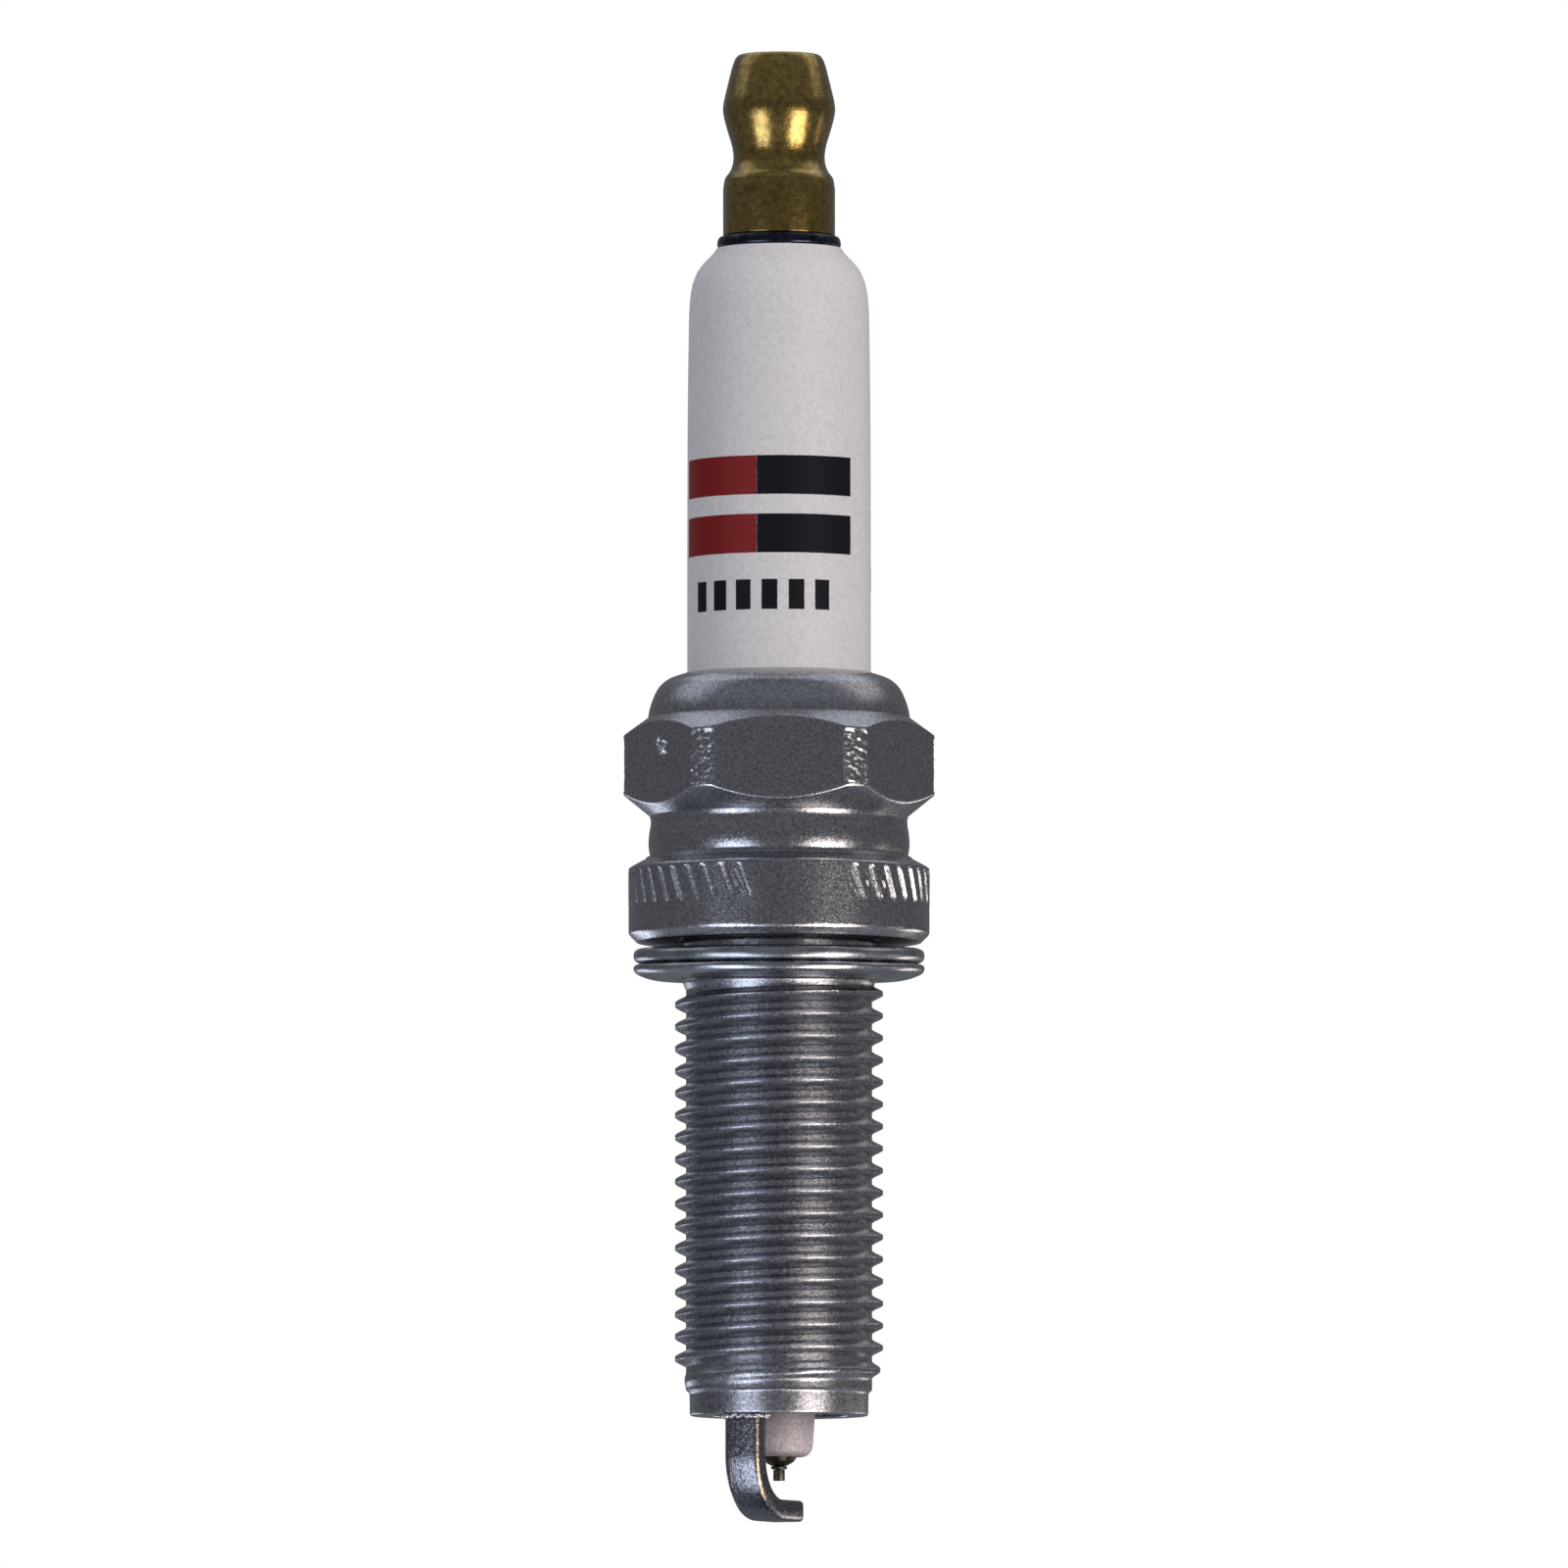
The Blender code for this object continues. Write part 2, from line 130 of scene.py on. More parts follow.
class Recipe:
    """A new material, with the few steps that every finish is made of."""

    def __init__(self, name: str, constants: dict[str, float]) -> None:
        """Start a material.

        Args:
            name: The material's name.
            constants: Values for the shader's own sockets.
        """
        self.material = bpy.data.materials.new(name)
        self.material.use_nodes = True
        self.tree = self.material.node_tree
        self.shader = self.tree.nodes["Principled BSDF"]
        for socket, value in constants.items():
            self.shader.inputs[socket].default_value = value
        self.place = add_node(self.tree, "ShaderNodeTexCoord").outputs["Object"]

    def feed(self, socket: str, value: Socket) -> None:
        """Link a value to one of the shader's sockets."""
        self.tree.links.new(value, self.shader.inputs[socket])

    def noise(self, size: float, detail: float, roughness: float, place: Socket | None = None) -> Socket:
        """Add noise.

        Args:
            size: Its grain in millimetres.
            detail: Number of finer layers.
            roughness: How strong the finer layers are.
            place: The coordinates, if not the object's own.

        Returns:
            The noise, from 0 to 1.
        """
        node = add_node(self.tree, "ShaderNodeTexNoise",
                        {"Vector": self.place if place is None else place, "Scale": 1.0 / (size * MM),
                         "Detail": detail, "Roughness": roughness})
        return node.outputs["Fac"]

    def tone(self, factor: Socket, dark: str, dark_at: float, light: str, light_at: float) -> Socket:
        """Turn a factor into a colour between two sRGB hex colours."""
        node = add_node(self.tree, "ShaderNodeValToRGB", {"Fac": factor})
        for end, position, code in zip(node.color_ramp.elements, (dark_at, light_at), (dark, light)):
            end.position = position
            end.color = linear(code)
        return node.outputs["Color"]

    def bump(self, height: Socket, depth: float, under: Socket | None = None) -> Socket:
        """Raise the surface.

        Args:
            height: The height, from 0 to 1.
            depth: What a height of 1 stands for, in micrometres.
            under: The bumped normal that it is laid over.

        Returns:
            The bumped normal.
        """
        links = {"Height": height, "Distance": depth * MM * MM, "Strength": 1.0}
        if under is not None:
            links["Normal"] = under
        return add_node(self.tree, "ShaderNodeBump", links).outputs["Normal"]

    def math(self, operation: str, *values: Socket | float) -> Socket:
        """Add a maths node and give its result."""
        return add_node(self.tree, "ShaderNodeMath", dict(enumerate(values)), operation=operation).outputs[0]


# ---------------------------------------------------------------- finishes


class Tooling(Enum):
    """How the last tool left its marks on a metal: the value squashes a noise into lines that way."""

    NONE = None
    TURNED = (0.04, 0.04, 1.0)
    DRAWN = (1.0, 1.0, 0.02)


@dataclass(frozen=True)
class MetalFinish:
    """A bare or plated metal with a mottled tone, a fine grain and tool marks.

    Grain sizes are in millimetres and depths in micrometres.
    """

    name: str
    light: str
    dark: str
    roughness: float
    roughness_spread: float
    patch_size: float
    grain_size: float
    grain_depth: float
    tooling: Tooling = Tooling.NONE
    line_size: float = 0.06
    line_depth: float = 2.0
    peel_size: float = 0.6
    peel_depth: float = 6.0
    film: float = 0.0
    film_roughness: float = 0.22

    def material(self) -> bpy.types.Material:
        """Build the material.

        Returns:
            A material with colour, roughness and bump from nodes.
        """
        made = Recipe(self.name, {"Metallic": 1.0, "Coat Weight": self.film,
                                  "Coat Roughness": self.film_roughness})
        patches = made.noise(self.patch_size, 5.0, 0.6)
        made.feed("Base Color", made.tone(patches, self.dark, 0.36, self.light, 0.62))
        grain = made.noise(self.grain_size, 3.0, 0.65)
        spread = (self.roughness - self.roughness_spread, self.roughness + self.roughness_spread)
        made.feed("Roughness", map_range(made.tree, grain, (0.35, 0.65), spread))
        surface = made.bump(made.noise(self.peel_size, 2.0, 0.5), self.peel_depth)
        surface = made.bump(grain, self.grain_depth, surface)
        if self.tooling is not Tooling.NONE:
            squashed = add_node(made.tree, "ShaderNodeVectorMath", {0: made.place, 1: self.tooling.value},
                                operation="MULTIPLY").outputs["Vector"]
            surface = made.bump(made.noise(self.line_size, 2.0, 0.5, squashed), self.line_depth, surface)
        made.feed("Normal", surface)
        return made.material


@dataclass(frozen=True)
class FiredFinish:
    """Ceramic, glass or pressed powder: a speckled tone, a fine grain and an optional glaze."""

    name: str
    light: str
    dark: str
    roughness: float
    grain_size: float
    grain_depth: float
    speck_size: float
    glaze: float = 0.0
    glaze_roughness: float = 0.12
    specular: float = 0.5

    def material(self) -> bpy.types.Material:
        """Build the material.

        Returns:
            A material with colour and bump from nodes.
        """
        made = Recipe(self.name, {"Roughness": self.roughness, "Specular IOR Level": self.specular,
                                  "Coat Weight": self.glaze, "Coat Roughness": self.glaze_roughness})
        made.feed("Base Color", self.tone(made))
        made.feed("Normal", made.bump(made.noise(self.grain_size, 3.0, 0.6), self.grain_depth))
        return made.material

    def tone(self, made: Recipe) -> Socket:
        """Mix the body colour with its specks and give the colour."""
        return made.tone(made.noise(self.speck_size, 4.0, 0.7), self.dark, 0.38, self.light, 0.60)


@dataclass(frozen=True)
class PrintedBand:
    """One band of fired ink round the insulator; heights in mm, azimuths in degrees from the front."""

    colour: str
    low_z: float
    high_z: float
    from_deg: float
    to_deg: float


@dataclass(frozen=True)
class GlazedPorcelain(FiredFinish):
    """Glazed alumina with fired ink bands under the glaze; the ink's edges wander a little."""

    bands: tuple[PrintedBand, ...] = ()
    wander_mm: float = 0.05
    wander_rad: float = 0.010
    wander_grain: float = 0.12

    def tone(self, made: Recipe) -> Socket:
        """Lay each ink band over the white body.

        Args:
            made: The material that is being built.

        Returns:
            The colour output.
        """
        colour = super().tone(made)
        split = add_node(made.tree, "ShaderNodeSeparateXYZ", {0: made.place})
        back = made.math("MULTIPLY", split.outputs["Y"], -1.0)
        azimuth = made.math("ARCTAN2", split.outputs["X"], back)
        ragged = made.noise(self.wander_grain, 2.0, 0.5)
        for band in self.bands:
            level = self.inside(made, split.outputs["Z"], band.low_z * MM, band.high_z * MM,
                                self.wander_mm * MM, ragged)
            across = self.inside(made, azimuth, math.radians(band.from_deg), math.radians(band.to_deg),
                                 self.wander_rad, ragged)
            both = made.math("MULTIPLY", level, across)
            colour = add_node(made.tree, "ShaderNodeMix", {0: both, 6: colour, 7: linear(band.colour)},
                              data_type="RGBA").outputs[2]
        return colour

    def inside(self, made: Recipe, value: Socket, low: float, high: float, soft: float,
               ragged: Socket) -> Socket:
        """Give 1 where low < value < high, with a slightly ragged edge.

        Args:
            made: The material that is being built.
            value: The coordinate that is tested.
            low: Lower limit.
            high: Upper limit.
            soft: Width of the ragged edge, in the coordinate's own unit.
            ragged: Noise that roughens the edge.

        Returns:
            The mask output.
        """
        away = made.math("ABSOLUTE", made.math("SUBTRACT", value, (low + high) / 2))
        edge = made.math("MULTIPLY_ADD", ragged, soft, away)
        half = (high - low) / 2 + soft / 2
        return map_range(made.tree, edge, (half - soft / 3, half + soft / 3), (1.0, 0.0))


# Cold-formed low-carbon steel, bright nickel plated: a dark mirror with a hammered, sparkling skin.
PLATED_STEEL = MetalFinish("nickel_plated_steel_cold_formed", "bfc0c4", "919297", 0.23, 0.07, 0.18, 0.13,
                           11.0, peel_size=0.42, peel_depth=9.0)
# The same plating over a rolled thread: satin, because the rolls leave their own grain under it.
ROLLED_THREAD = MetalFinish("nickel_plated_steel_thread_rolled", "b5b6bc", "85878d", 0.29, 0.08, 0.20,
                            0.12, 12.0, peel_size=0.40, peel_depth=10.0)
# The same plating scuffed by tools and torn by the knurl: rough enough to glitter in any light.
TORN_PLATING = MetalFinish("nickel_plating_scuffed_and_torn", "e6e7ea", "9a9ca2", 0.34, 0.14, 0.16, 0.15,
                           80.0, peel_size=0.30, peel_depth=40.0)
# The gasket's sheet is plated before it is folded, so it is smoother and a little brighter.
GASKET_STEEL = MetalFinish("tin_plated_steel_folded", "b4b8bc", "92979d", 0.27, 0.06, 1.2, 0.14, 3.0,
                           Tooling.TURNED, line_size=0.10, line_depth=2.5, peel_size=0.9)
# Free-cutting brass, turned and tarnished under a thin film of oil: olive brown, with pale highlights.
TURNED_BRASS = MetalFinish("brass_turned_tarnished", "ae9249", "7f6a2f", 0.22, 0.06, 0.34, 0.12, 5.0,
                           Tooling.TURNED, line_size=0.16, line_depth=7.0, peel_size=0.7, peel_depth=4.0,
                           film=0.70, film_roughness=0.20)
# Blued spring steel: a thin blue-black glossy edge.
BLUED_STEEL = MetalFinish("spring_steel_blued", "434656", "262832", 0.20, 0.05, 0.5, 0.10, 2.0)
# Rolled and zinc plated stud: even grey with fine marks round the axis.
STUD_STEEL = MetalFinish("steel_stud_rolled_zinc_plated", "a9a9a6", "86868a", 0.34, 0.06, 0.8, 0.10, 3.0,
                         Tooling.TURNED)
# Drawn nickel alloy wire: warm grey, oxidised dark near the nose.
NICKEL_WIRE = MetalFinish("nickel_alloy_drawn", "4f4840", "29231e", 0.42, 0.08, 0.5, 0.08, 4.0,
                          Tooling.DRAWN, line_size=0.05, line_depth=2.0)
# Sintered and drawn precious-metal wire, ground square at its end.
TIP_WIRE = MetalFinish("iridium_alloy_drawn", "7c7872", "55514b", 0.38, 0.06, 0.3, 0.06, 3.0,
                       Tooling.DRAWN, line_size=0.04, line_depth=1.5)
# Laser weld, frozen in ripples and straw-coloured by heat.
LASER_WELD = MetalFinish("nickel_iridium_laser_weld", "665d52", "3f372f", 0.45, 0.10, 0.25, 0.09, 9.0)
# Nickel alloy strip, rolled and bent: fine lines along the strap and dull blue-grey faces.
STRAP_NICKEL = MetalFinish("nickel_alloy_strip_rolled", "93949a", "4d4e54", 0.20, 0.07, 0.15, 0.13, 14.0,
                           Tooling.DRAWN, line_size=0.16, line_depth=12.0, peel_size=0.40, peel_depth=16.0)
# The strip's sheared edges: torn metal that has not been rolled flat, with a brighter, warm colour that is
# partly a painted highlight along the edge.
SHEARED_EDGE_PAINTED_HIGHLIGHT = MetalFinish("nickel_alloy_sheared_edge_painted_highlight", "d9cbb6", "8b7d6c", 0.30, 0.10, 0.20, 0.14, 24.0)
# Resistance weld flash: crusty bright beads of melted nickel.
WELD_FLASH = MetalFinish("resistance_weld_flash", "f0f0f2", "a9abb2", 0.30, 0.12, 0.3, 0.12, 16.0,
                         peel_size=0.25, peel_depth=14.0)
# Bare alumina nose, ground and fired: matt, warm grey with a fine sandy tooth.
BARE_ALUMINA = FiredFinish("alumina_bare_fired", "ebdfe2", "c2b1ae", 0.60, 0.12, 12.0, 0.20)
# Glazed alumina barrel: white with a faint warm speckle under clear glaze, and fired ink bands.
INK_RED = "821416"
INK_NAVY = "0b0a14"
STRIPES = tuple(PrintedBand(ink, low_z, low_z + 2.2, left, left + 65.0)
                for low_z in (25.0, 21.7) for ink, left in ((INK_RED, -79.0), (INK_NAVY, -14.0)))
BARS = tuple(PrintedBand(INK_NAVY, low_z, high_z, left + 17.0 * k, left + width + 17.0 * k)
             for low_z, high_z, left, width in ((18.5, 20.2, -62.0, 10.0), (19.9, 21.2, 84.0, 8.0))
             for k in range(6))
GLAZED_ALUMINA = GlazedPorcelain("alumina_glazed_and_printed", "e2e0e0", "d6d3d3", 0.42, 0.22, 3.0, 0.26,
                                 0.05, 0.22, 0.22, bands=STRIPES + BARS)


# ---------------------------------------------------------------- mesh helpers


def place(thing: Thing) -> Thing:
    """Put an object in the scene and give it back."""
    bpy.context.scene.collection.objects.link(thing)
    return thing


def share_of(value: float) -> float:
    """Hold a value between 0 and 1."""
    return max(0.0, min(1.0, value))


def rounded(points: list[tuple[float, ...]], steps: int = 4, closed: bool = False) -> Outline:
    """Round the corners of an outline.

    Args:
        points: (radius, z) or (radius, z, rounding) for each corner, in mm.
        steps: Segments in each rounding.
        closed: Whether the outline joins up.

    Returns:
        The finer outline.
    """
    found: Outline = []
    count = len(points)
    for k, point in enumerate(points):
        if len(point) < 3 or not (closed or 0 < k < count - 1):
            found.append((point[0], point[1]))
            continue
        middle = Vector(point[:2])
        back = (Vector(points[k - 1][:2]) - middle).normalized() * point[2]
        ahead = (Vector(points[(k + 1) % count][:2]) - middle).normalized() * point[2]
        for step in range(steps + 1):
            t = step / steps
            spot = middle + back * (1 - t) ** 2 + ahead * t ** 2
            found.append((spot.x, spot.y))
    return found


def flowing(points: Outline, steps: int = 5) -> Outline:
    """Run a smooth curve through the given points.

    Args:
        points: (radius, z) points in mm.
        steps: Segments between two points.

    Returns:
        The finer outline.
    """
    found: Outline = []
    count = len(points)
    for k in range(count - 1):
        a, b, c, d = (Vector(points[max(0, min(count - 1, k + near))]) for near in (-1, 0, 1, 2))
        for step in range(steps):
            t = step / steps
            spot = 0.5 * (2 * b + (c - a) * t + (2 * a - 5 * b + 4 * c - d) * t ** 2
                          + (3 * b - a - 3 * c + d) * t ** 3)
            found.append((spot.x, spot.y))
    found.append(points[-1])
    return found


class Lathe:
    """Builds a mesh ring by ring round the Z axis, in millimetres."""

    def __init__(self) -> None:
        """Start with an empty mesh."""
        self.bm = bmesh.new()

    def ring(self, columns: int, spot: Spot) -> Ring:
        """Add one ring of vertices.

        Args:
            columns: Number of vertices round the axis.
            spot: Function from angle in radians to (radius, z, angle shift in radians).

        Returns:
            The ring's vertices in order.
        """
        made = []
        for k in range(columns):
            angle = 2 * math.pi * k / columns
            radius, z, shift = spot(angle)
            angle += shift
            made.append(self.bm.verts.new((radius * math.cos(angle), radius * math.sin(angle), z)))
        return made

    def level_rings(self, columns: int, outline: Outline,
                    lean: tuple[float, float] = (0.0, 0.0)) -> list[Ring]:
        """Add a round, level ring for each outline point.

        Args:
            columns: Number of vertices round the axis.
            outline: (radius, z) points in mm.
            lean: Angle shift, in radians, that the columns come from and the one that they reach.

        Returns:
            The rings, not joined yet.
        """
        rings = []
        for k, (radius, z) in enumerate(outline):
            shift = lean[0] + (lean[1] - lean[0]) * (k + 1) / len(outline)
            rings.append(self.ring(columns, lambda angle, spot=(radius, z, shift): spot))
        return rings

    def skin(self, first: Ring, second: Ring) -> None:
        """Join two rings of equal length with quads."""
        count = len(first)
        for k in range(count):
            after = (k + 1) % count
            self.bm.faces.new((first[k], first[after], second[after], second[k]))

    def join(self, rings: list[Ring]) -> None:
        """Join each ring to the next one."""
        for first, second in zip(rings, rings[1:]):
            self.skin(first, second)

    def cap(self, ring: Ring, z: float) -> None:
        """Close a ring with a fan to a point on the axis."""
        centre = self.bm.verts.new((0.0, 0.0, z))
        for k, vert in enumerate(ring):
            self.bm.faces.new((vert, ring[(k + 1) % len(ring)], centre))

    def rows(self, columns: int, outline: Outline) -> list[Ring]:
        """Add a ring for each outline point and join them in turn."""
        rings = self.level_rings(columns, outline)
        self.join(rings)
        return rings

    def bridge(self, first: Ring, second: Ring) -> None:
        """Join two rings whose vertex counts differ."""
        edges = [self.bm.edges.get((ring[k], ring[(k + 1) % len(ring)])) for ring in (first, second)
                 for k in range(len(ring))]
        bmesh.ops.bridge_loops(self.bm, edges=edges)

    def rotate(self, degrees: float, axis: str) -> Matrix:
        """Turn what has been built so far about an axis, and give the rotation."""
        turn = Matrix.Rotation(math.radians(degrees), 3, axis)
        bmesh.ops.rotate(self.bm, cent=(0, 0, 0), matrix=turn, verts=self.bm.verts)
        return turn

    def finish(self, finish: MetalFinish | FiredFinish, body: str, node: str, part: str = "body",
               sharp_deg: float = 40.0) -> Thing:
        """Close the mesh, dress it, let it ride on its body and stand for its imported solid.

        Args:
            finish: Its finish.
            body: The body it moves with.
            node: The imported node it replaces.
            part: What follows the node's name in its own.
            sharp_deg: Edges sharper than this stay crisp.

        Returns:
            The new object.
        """
        bmesh.ops.remove_doubles(self.bm, verts=self.bm.verts, dist=WELD_DISTANCE)
        bmesh.ops.recalc_face_normals(self.bm, faces=self.bm.faces)
        bmesh.ops.scale(self.bm, vec=(MM, MM, MM), verts=self.bm.verts)
        mesh = bpy.data.meshes.new(f"{node}_{part}")
        self.bm.to_mesh(mesh)
        self.bm.free()
        for face in mesh.polygons:
            face.use_smooth = True
        mesh.set_sharp_from_angle(angle=math.radians(sharp_deg))
        mesh.materials.append(finish.material())
        piece = place(bpy.data.objects.new(mesh.name, mesh))
        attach(piece, body)
        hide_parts(node)
        LOG.info("%s: %d faces on %s", piece.name, len(mesh.polygons), body)
        return piece


@dataclass
class Thread:
    """A right-hand external thread that runs out at both ends, under a plain neck if it has one."""

    pitch: float
    root_r: float
    crest_r: float
    first_crest_z: float
    turns: float
    top_z: float
    bottom_z: float
    columns: int
    fade_in: float
    fade_out: float
    start_deg: float = 0.0
    neck_r: float = 0.0
    neck_z: float = 0.0
    neck_taper: float = 0.40
    crest_phase: float = 0.085
    root_phase: float = 0.385

    def neck(self, z: float) -> float:
        """Radius of the neck that tapers down to the thread's root, at a height in mm."""
        return self.root_r + (self.neck_r - self.root_r) * share_of((z - self.neck_z) / self.neck_taper)

    def height(self, phase: float) -> float:
        """Height of the ridge, from 0 at the root to 1 at the crest.

        Args:
            phase: Distance from the crest in pitches, from -0.5 to 0.5.

        Returns:
            The share of the full thread depth.
        """
        away = abs(phase)
        if away <= self.crest_phase:
            return 1.0 - 0.03 * (1 - away / self.crest_phase)
        if away >= self.root_phase:
            return 0.0
        t = (self.root_phase - away) / (self.root_phase - self.crest_phase)
        return t - 0.06 * math.sin(2 * math.pi * t)

    def cut(self, lathe: Lathe) -> None:
        """Add the threaded surface; its end rings lie at top_z and bottom_z on the root radius."""
        rise = [-0.5, -self.root_phase, -0.35, -0.29, -0.22, -0.15, -0.11, -self.crest_phase]
        phases = rise + [0.0] + [-phase for phase in reversed(rise)]
        last: Ring = []
        for step in range(-self.columns, round(self.turns * self.columns) + self.columns + 1):
            turns = step / self.columns
            angle = math.radians(self.start_deg) - 2 * math.pi * turns
            share = share_of(min(turns / self.fade_in, (self.turns - turns) / self.fade_out))
            row = []
            for phase in phases:
                z = self.first_crest_z - self.pitch * (turns + phase)
                z = min(self.top_z, max(self.bottom_z, z))
                radius = self.root_r + (self.crest_r - self.root_r) * self.height(phase) * share
                if self.neck_r:
                    radius = max(radius, self.neck(z))
                row.append(lathe.bm.verts.new((radius * math.cos(angle), radius * math.sin(angle), z)))
            if last:
                for k in range(len(phases) - 1):
                    lathe.bm.faces.new((last[k], last[k + 1], row[k + 1], row[k]))
            last = row


def turn_whole(columns: int, outline: Outline, finish: MetalFinish | FiredFinish, body: str, node: str,
               closed: bool = True, tilt_deg: float = 0.0) -> Thing:
    """Turn a piece from one outline, tilt it forward and finish it.

    Args:
        columns: Number of vertices round the axis.
        outline: (radius, z) points in mm.
        finish: Its finish.
        body: The body it moves with.
        node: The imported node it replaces.
        closed: Whether the outline joins up; an open one is capped on the axis.
        tilt_deg: How far it leans to the front.

    Returns:
        The new object.
    """
    lathe = Lathe()
    rings = lathe.rows(columns, outline)
    if closed:
        lathe.skin(rings[-1], rings[0])
    else:
        lathe.cap(rings[0], outline[0][1])
        lathe.cap(rings[-1], outline[-1][1])
    if tilt_deg:
        lathe.rotate(tilt_deg, "X")
    return lathe.finish(finish, body, node)


# ---------------------------------------------------------------- sub-assemblies


@dataclass
class Shell:
    """Plated steel shell: crimp, hexagon, neck, notched flange, thread and stepped bore."""

    fine: int = 480
    coarse: int = 96
    flat_r: float = 7.94
    corner_r: float = 8.80
    hex_top: tuple[float, float] = (7.40, 12.70)
    hex_bottom: tuple[float, float] = (7.30, 7.14)
    top_slope: float = 1.378
    bottom_slope: float = 1.2295
    edge: float = 0.13
    corner_blend: float = 0.05
    scuffed_from_deg: float = 24.6
    wall_rows: int = 36
    flange_r: float = 8.50
    notches: int = 48
    notch_depth: float = 0.20
    notch_top: float = 4.02
    notch_bottom: float = 2.00
    notch_end: float = 0.16
    notch_profile: tuple[float, ...] = (-1.0, -0.42, 0.08)
    struck_r: tuple[float, float] = (8.15, 8.465)
    satin_z: tuple[float, float] = (-26.7, -1.0)
    satin_from_r: float = 4.9
    lean_deg: float = 20.0
    plain_front_deg: tuple[float, float] = (256.5, 296.0)
    notch_shift: int = 3
    double_struck_deg: float = 24.0
    mark_deg: float = 214.5
    mark_z: float = 10.8
    punched: tuple[tuple[float, float, float], ...] = (
        (-0.42, 0.30, 0.26), (-0.10, -0.22, 0.22), (0.30, 0.12, 0.28), (0.34, -0.38, 0.20))

    def side_radius(self, angle: float) -> float:
        """Radius of the hexagon's side at an angle, with its turned corners blended in."""
        flat = self.flat_r / math.cos(angle % (math.pi / 3) - math.pi / 6)
        gap = self.corner_r - flat
        return 0.5 * (flat + self.corner_r - math.sqrt(gap * gap + self.corner_blend ** 2))

    def scuffs(self, angle: float, z: float) -> float:
        """Height of the torn skin on the hexagon's corners, in mm."""
        from_flat = abs(math.degrees(angle % (math.pi / 3) - math.pi / 6))
        spot = Vector((math.cos(angle) * 60.0, math.sin(angle) * 60.0, z * 7.0))
        torn = 0.062 * noise.noise(spot) + 0.030 * noise.noise(spot * 2.3) - 0.068
        return share_of((from_flat - self.scuffed_from_deg) / 1.5) * torn

    def dents(self, angle: float, z: float) -> float:
        """Depth of the small plain punch dents in one flat, in mm."""
        deep = 0.0
        for across, up, size in self.punched:
            x = math.radians(math.degrees(angle) - self.mark_deg) * self.flat_r - across
            gap = (x * x + (z - self.mark_z - up) ** 2) / (size * size)
            deep += 0.24 * math.exp(-2.5 * gap) - 0.07 * math.exp(-2.5 * (math.sqrt(gap) - 1.3) ** 2)
        return deep

    def top_edge(self, angle: float) -> float:
        """Height where the hexagon's side meets its top chamfer."""
        return self.hex_top[1] - (self.side_radius(angle) - self.hex_top[0]) / self.top_slope

    def bottom_edge(self, angle: float) -> float:
        """Height where the hexagon's side meets its bottom chamfer."""
        return self.hex_bottom[1] + (self.side_radius(angle) - self.hex_bottom[0]) / self.bottom_slope

    def hexagon(self, lathe: Lathe) -> list[Ring]:
        """Add the hexagon's rings, from the top chamfer to the bottom one."""
        def chamfer(share: float, angle: float) -> tuple[float, float, float]:
            z = self.hex_top[1] + (self.top_edge(angle) + self.edge - self.hex_top[1]) * share
            z = min(z, self.hex_top[1])
            return (self.hex_top[0] + (self.hex_top[1] - z) * self.top_slope, z, 0.0)

        def ease(edge: Callable[[float], float], slope: float, past: float, pulled: float,
                 angle: float) -> tuple[float, float, float]:
            radius = self.side_radius(angle) - max(0.0, past) * abs(slope)
            return (radius - pulled, edge(angle) + (past if slope > 0 else -past), 0.0)

        def wall(share: float, angle: float) -> tuple[float, float, float]:
            high = self.top_edge(angle) - 0.12
            z = high + (self.bottom_edge(angle) + 0.12 - high) * share
            return (self.side_radius(angle) - self.dents(angle, z) + self.scuffs(angle, z), z, 0.0)

        def under(share: float, angle: float) -> tuple[float, float, float]:
            start = self.bottom_edge(angle) - 0.10
            z = start + (self.hex_bottom[1] - start) * share
            return (self.hex_bottom[0] + (z - self.hex_bottom[1]) * self.bottom_slope, z, 0.0)

        rounding = [(0.10, 0.0), (0.05, 0.0), (0.0, 0.022), (-0.06, 0.006), (-0.12, 0.0)]
        spots = [partial(chamfer, share) for share in (0.0, 0.3, 0.6, 0.85)]
        spots += [partial(ease, self.top_edge, self.top_slope, past, pulled) for past, pulled in rounding]
        spots += [partial(wall, k / self.wall_rows) for k in range(1, self.wall_rows)]
        spots += [partial(ease, self.bottom_edge, -self.bottom_slope, past, pulled)
                  for past, pulled in reversed(rounding)]
        spots += [partial(under, share) for share in (0.3, 0.65, 1.0)]
        return [lathe.ring(self.fine, spot) for spot in spots]

    def flange(self, lathe: Lathe, reach: float) -> list[Ring]:
        """Add the flange's side with its stamped notches.

        Args:
            lathe: The shell's mesh.
            reach: How far the slanting notches swing from the flange's middle to each end, in radians.

        Returns:
            The rings, from the top down.
        """
        draw = random.Random(11)
        depths = [self.notch_depth * draw.uniform(0.7, 1.1) for _ in range(self.notches)]
        per_notch = self.fine // self.notches
        middle = (self.notch_top + self.notch_bottom) / 2
        half = (self.notch_top - self.notch_bottom) / 2

        def notch(angle: float, z: float) -> float:
            index, column = divmod(round(angle / (2 * math.pi) * self.fine) - self.notch_shift, per_notch)
            offset = min(column, per_notch - column)
            degrees = math.degrees(angle)
            first, last = self.plain_front_deg
            if first < degrees < last:
                return 0.0
            if offset < len(self.notch_profile):
                deep = share_of(min(self.notch_top - z, z - self.notch_bottom) / self.notch_end)
                return self.notch_profile[offset] * deep * depths[index % self.notches]
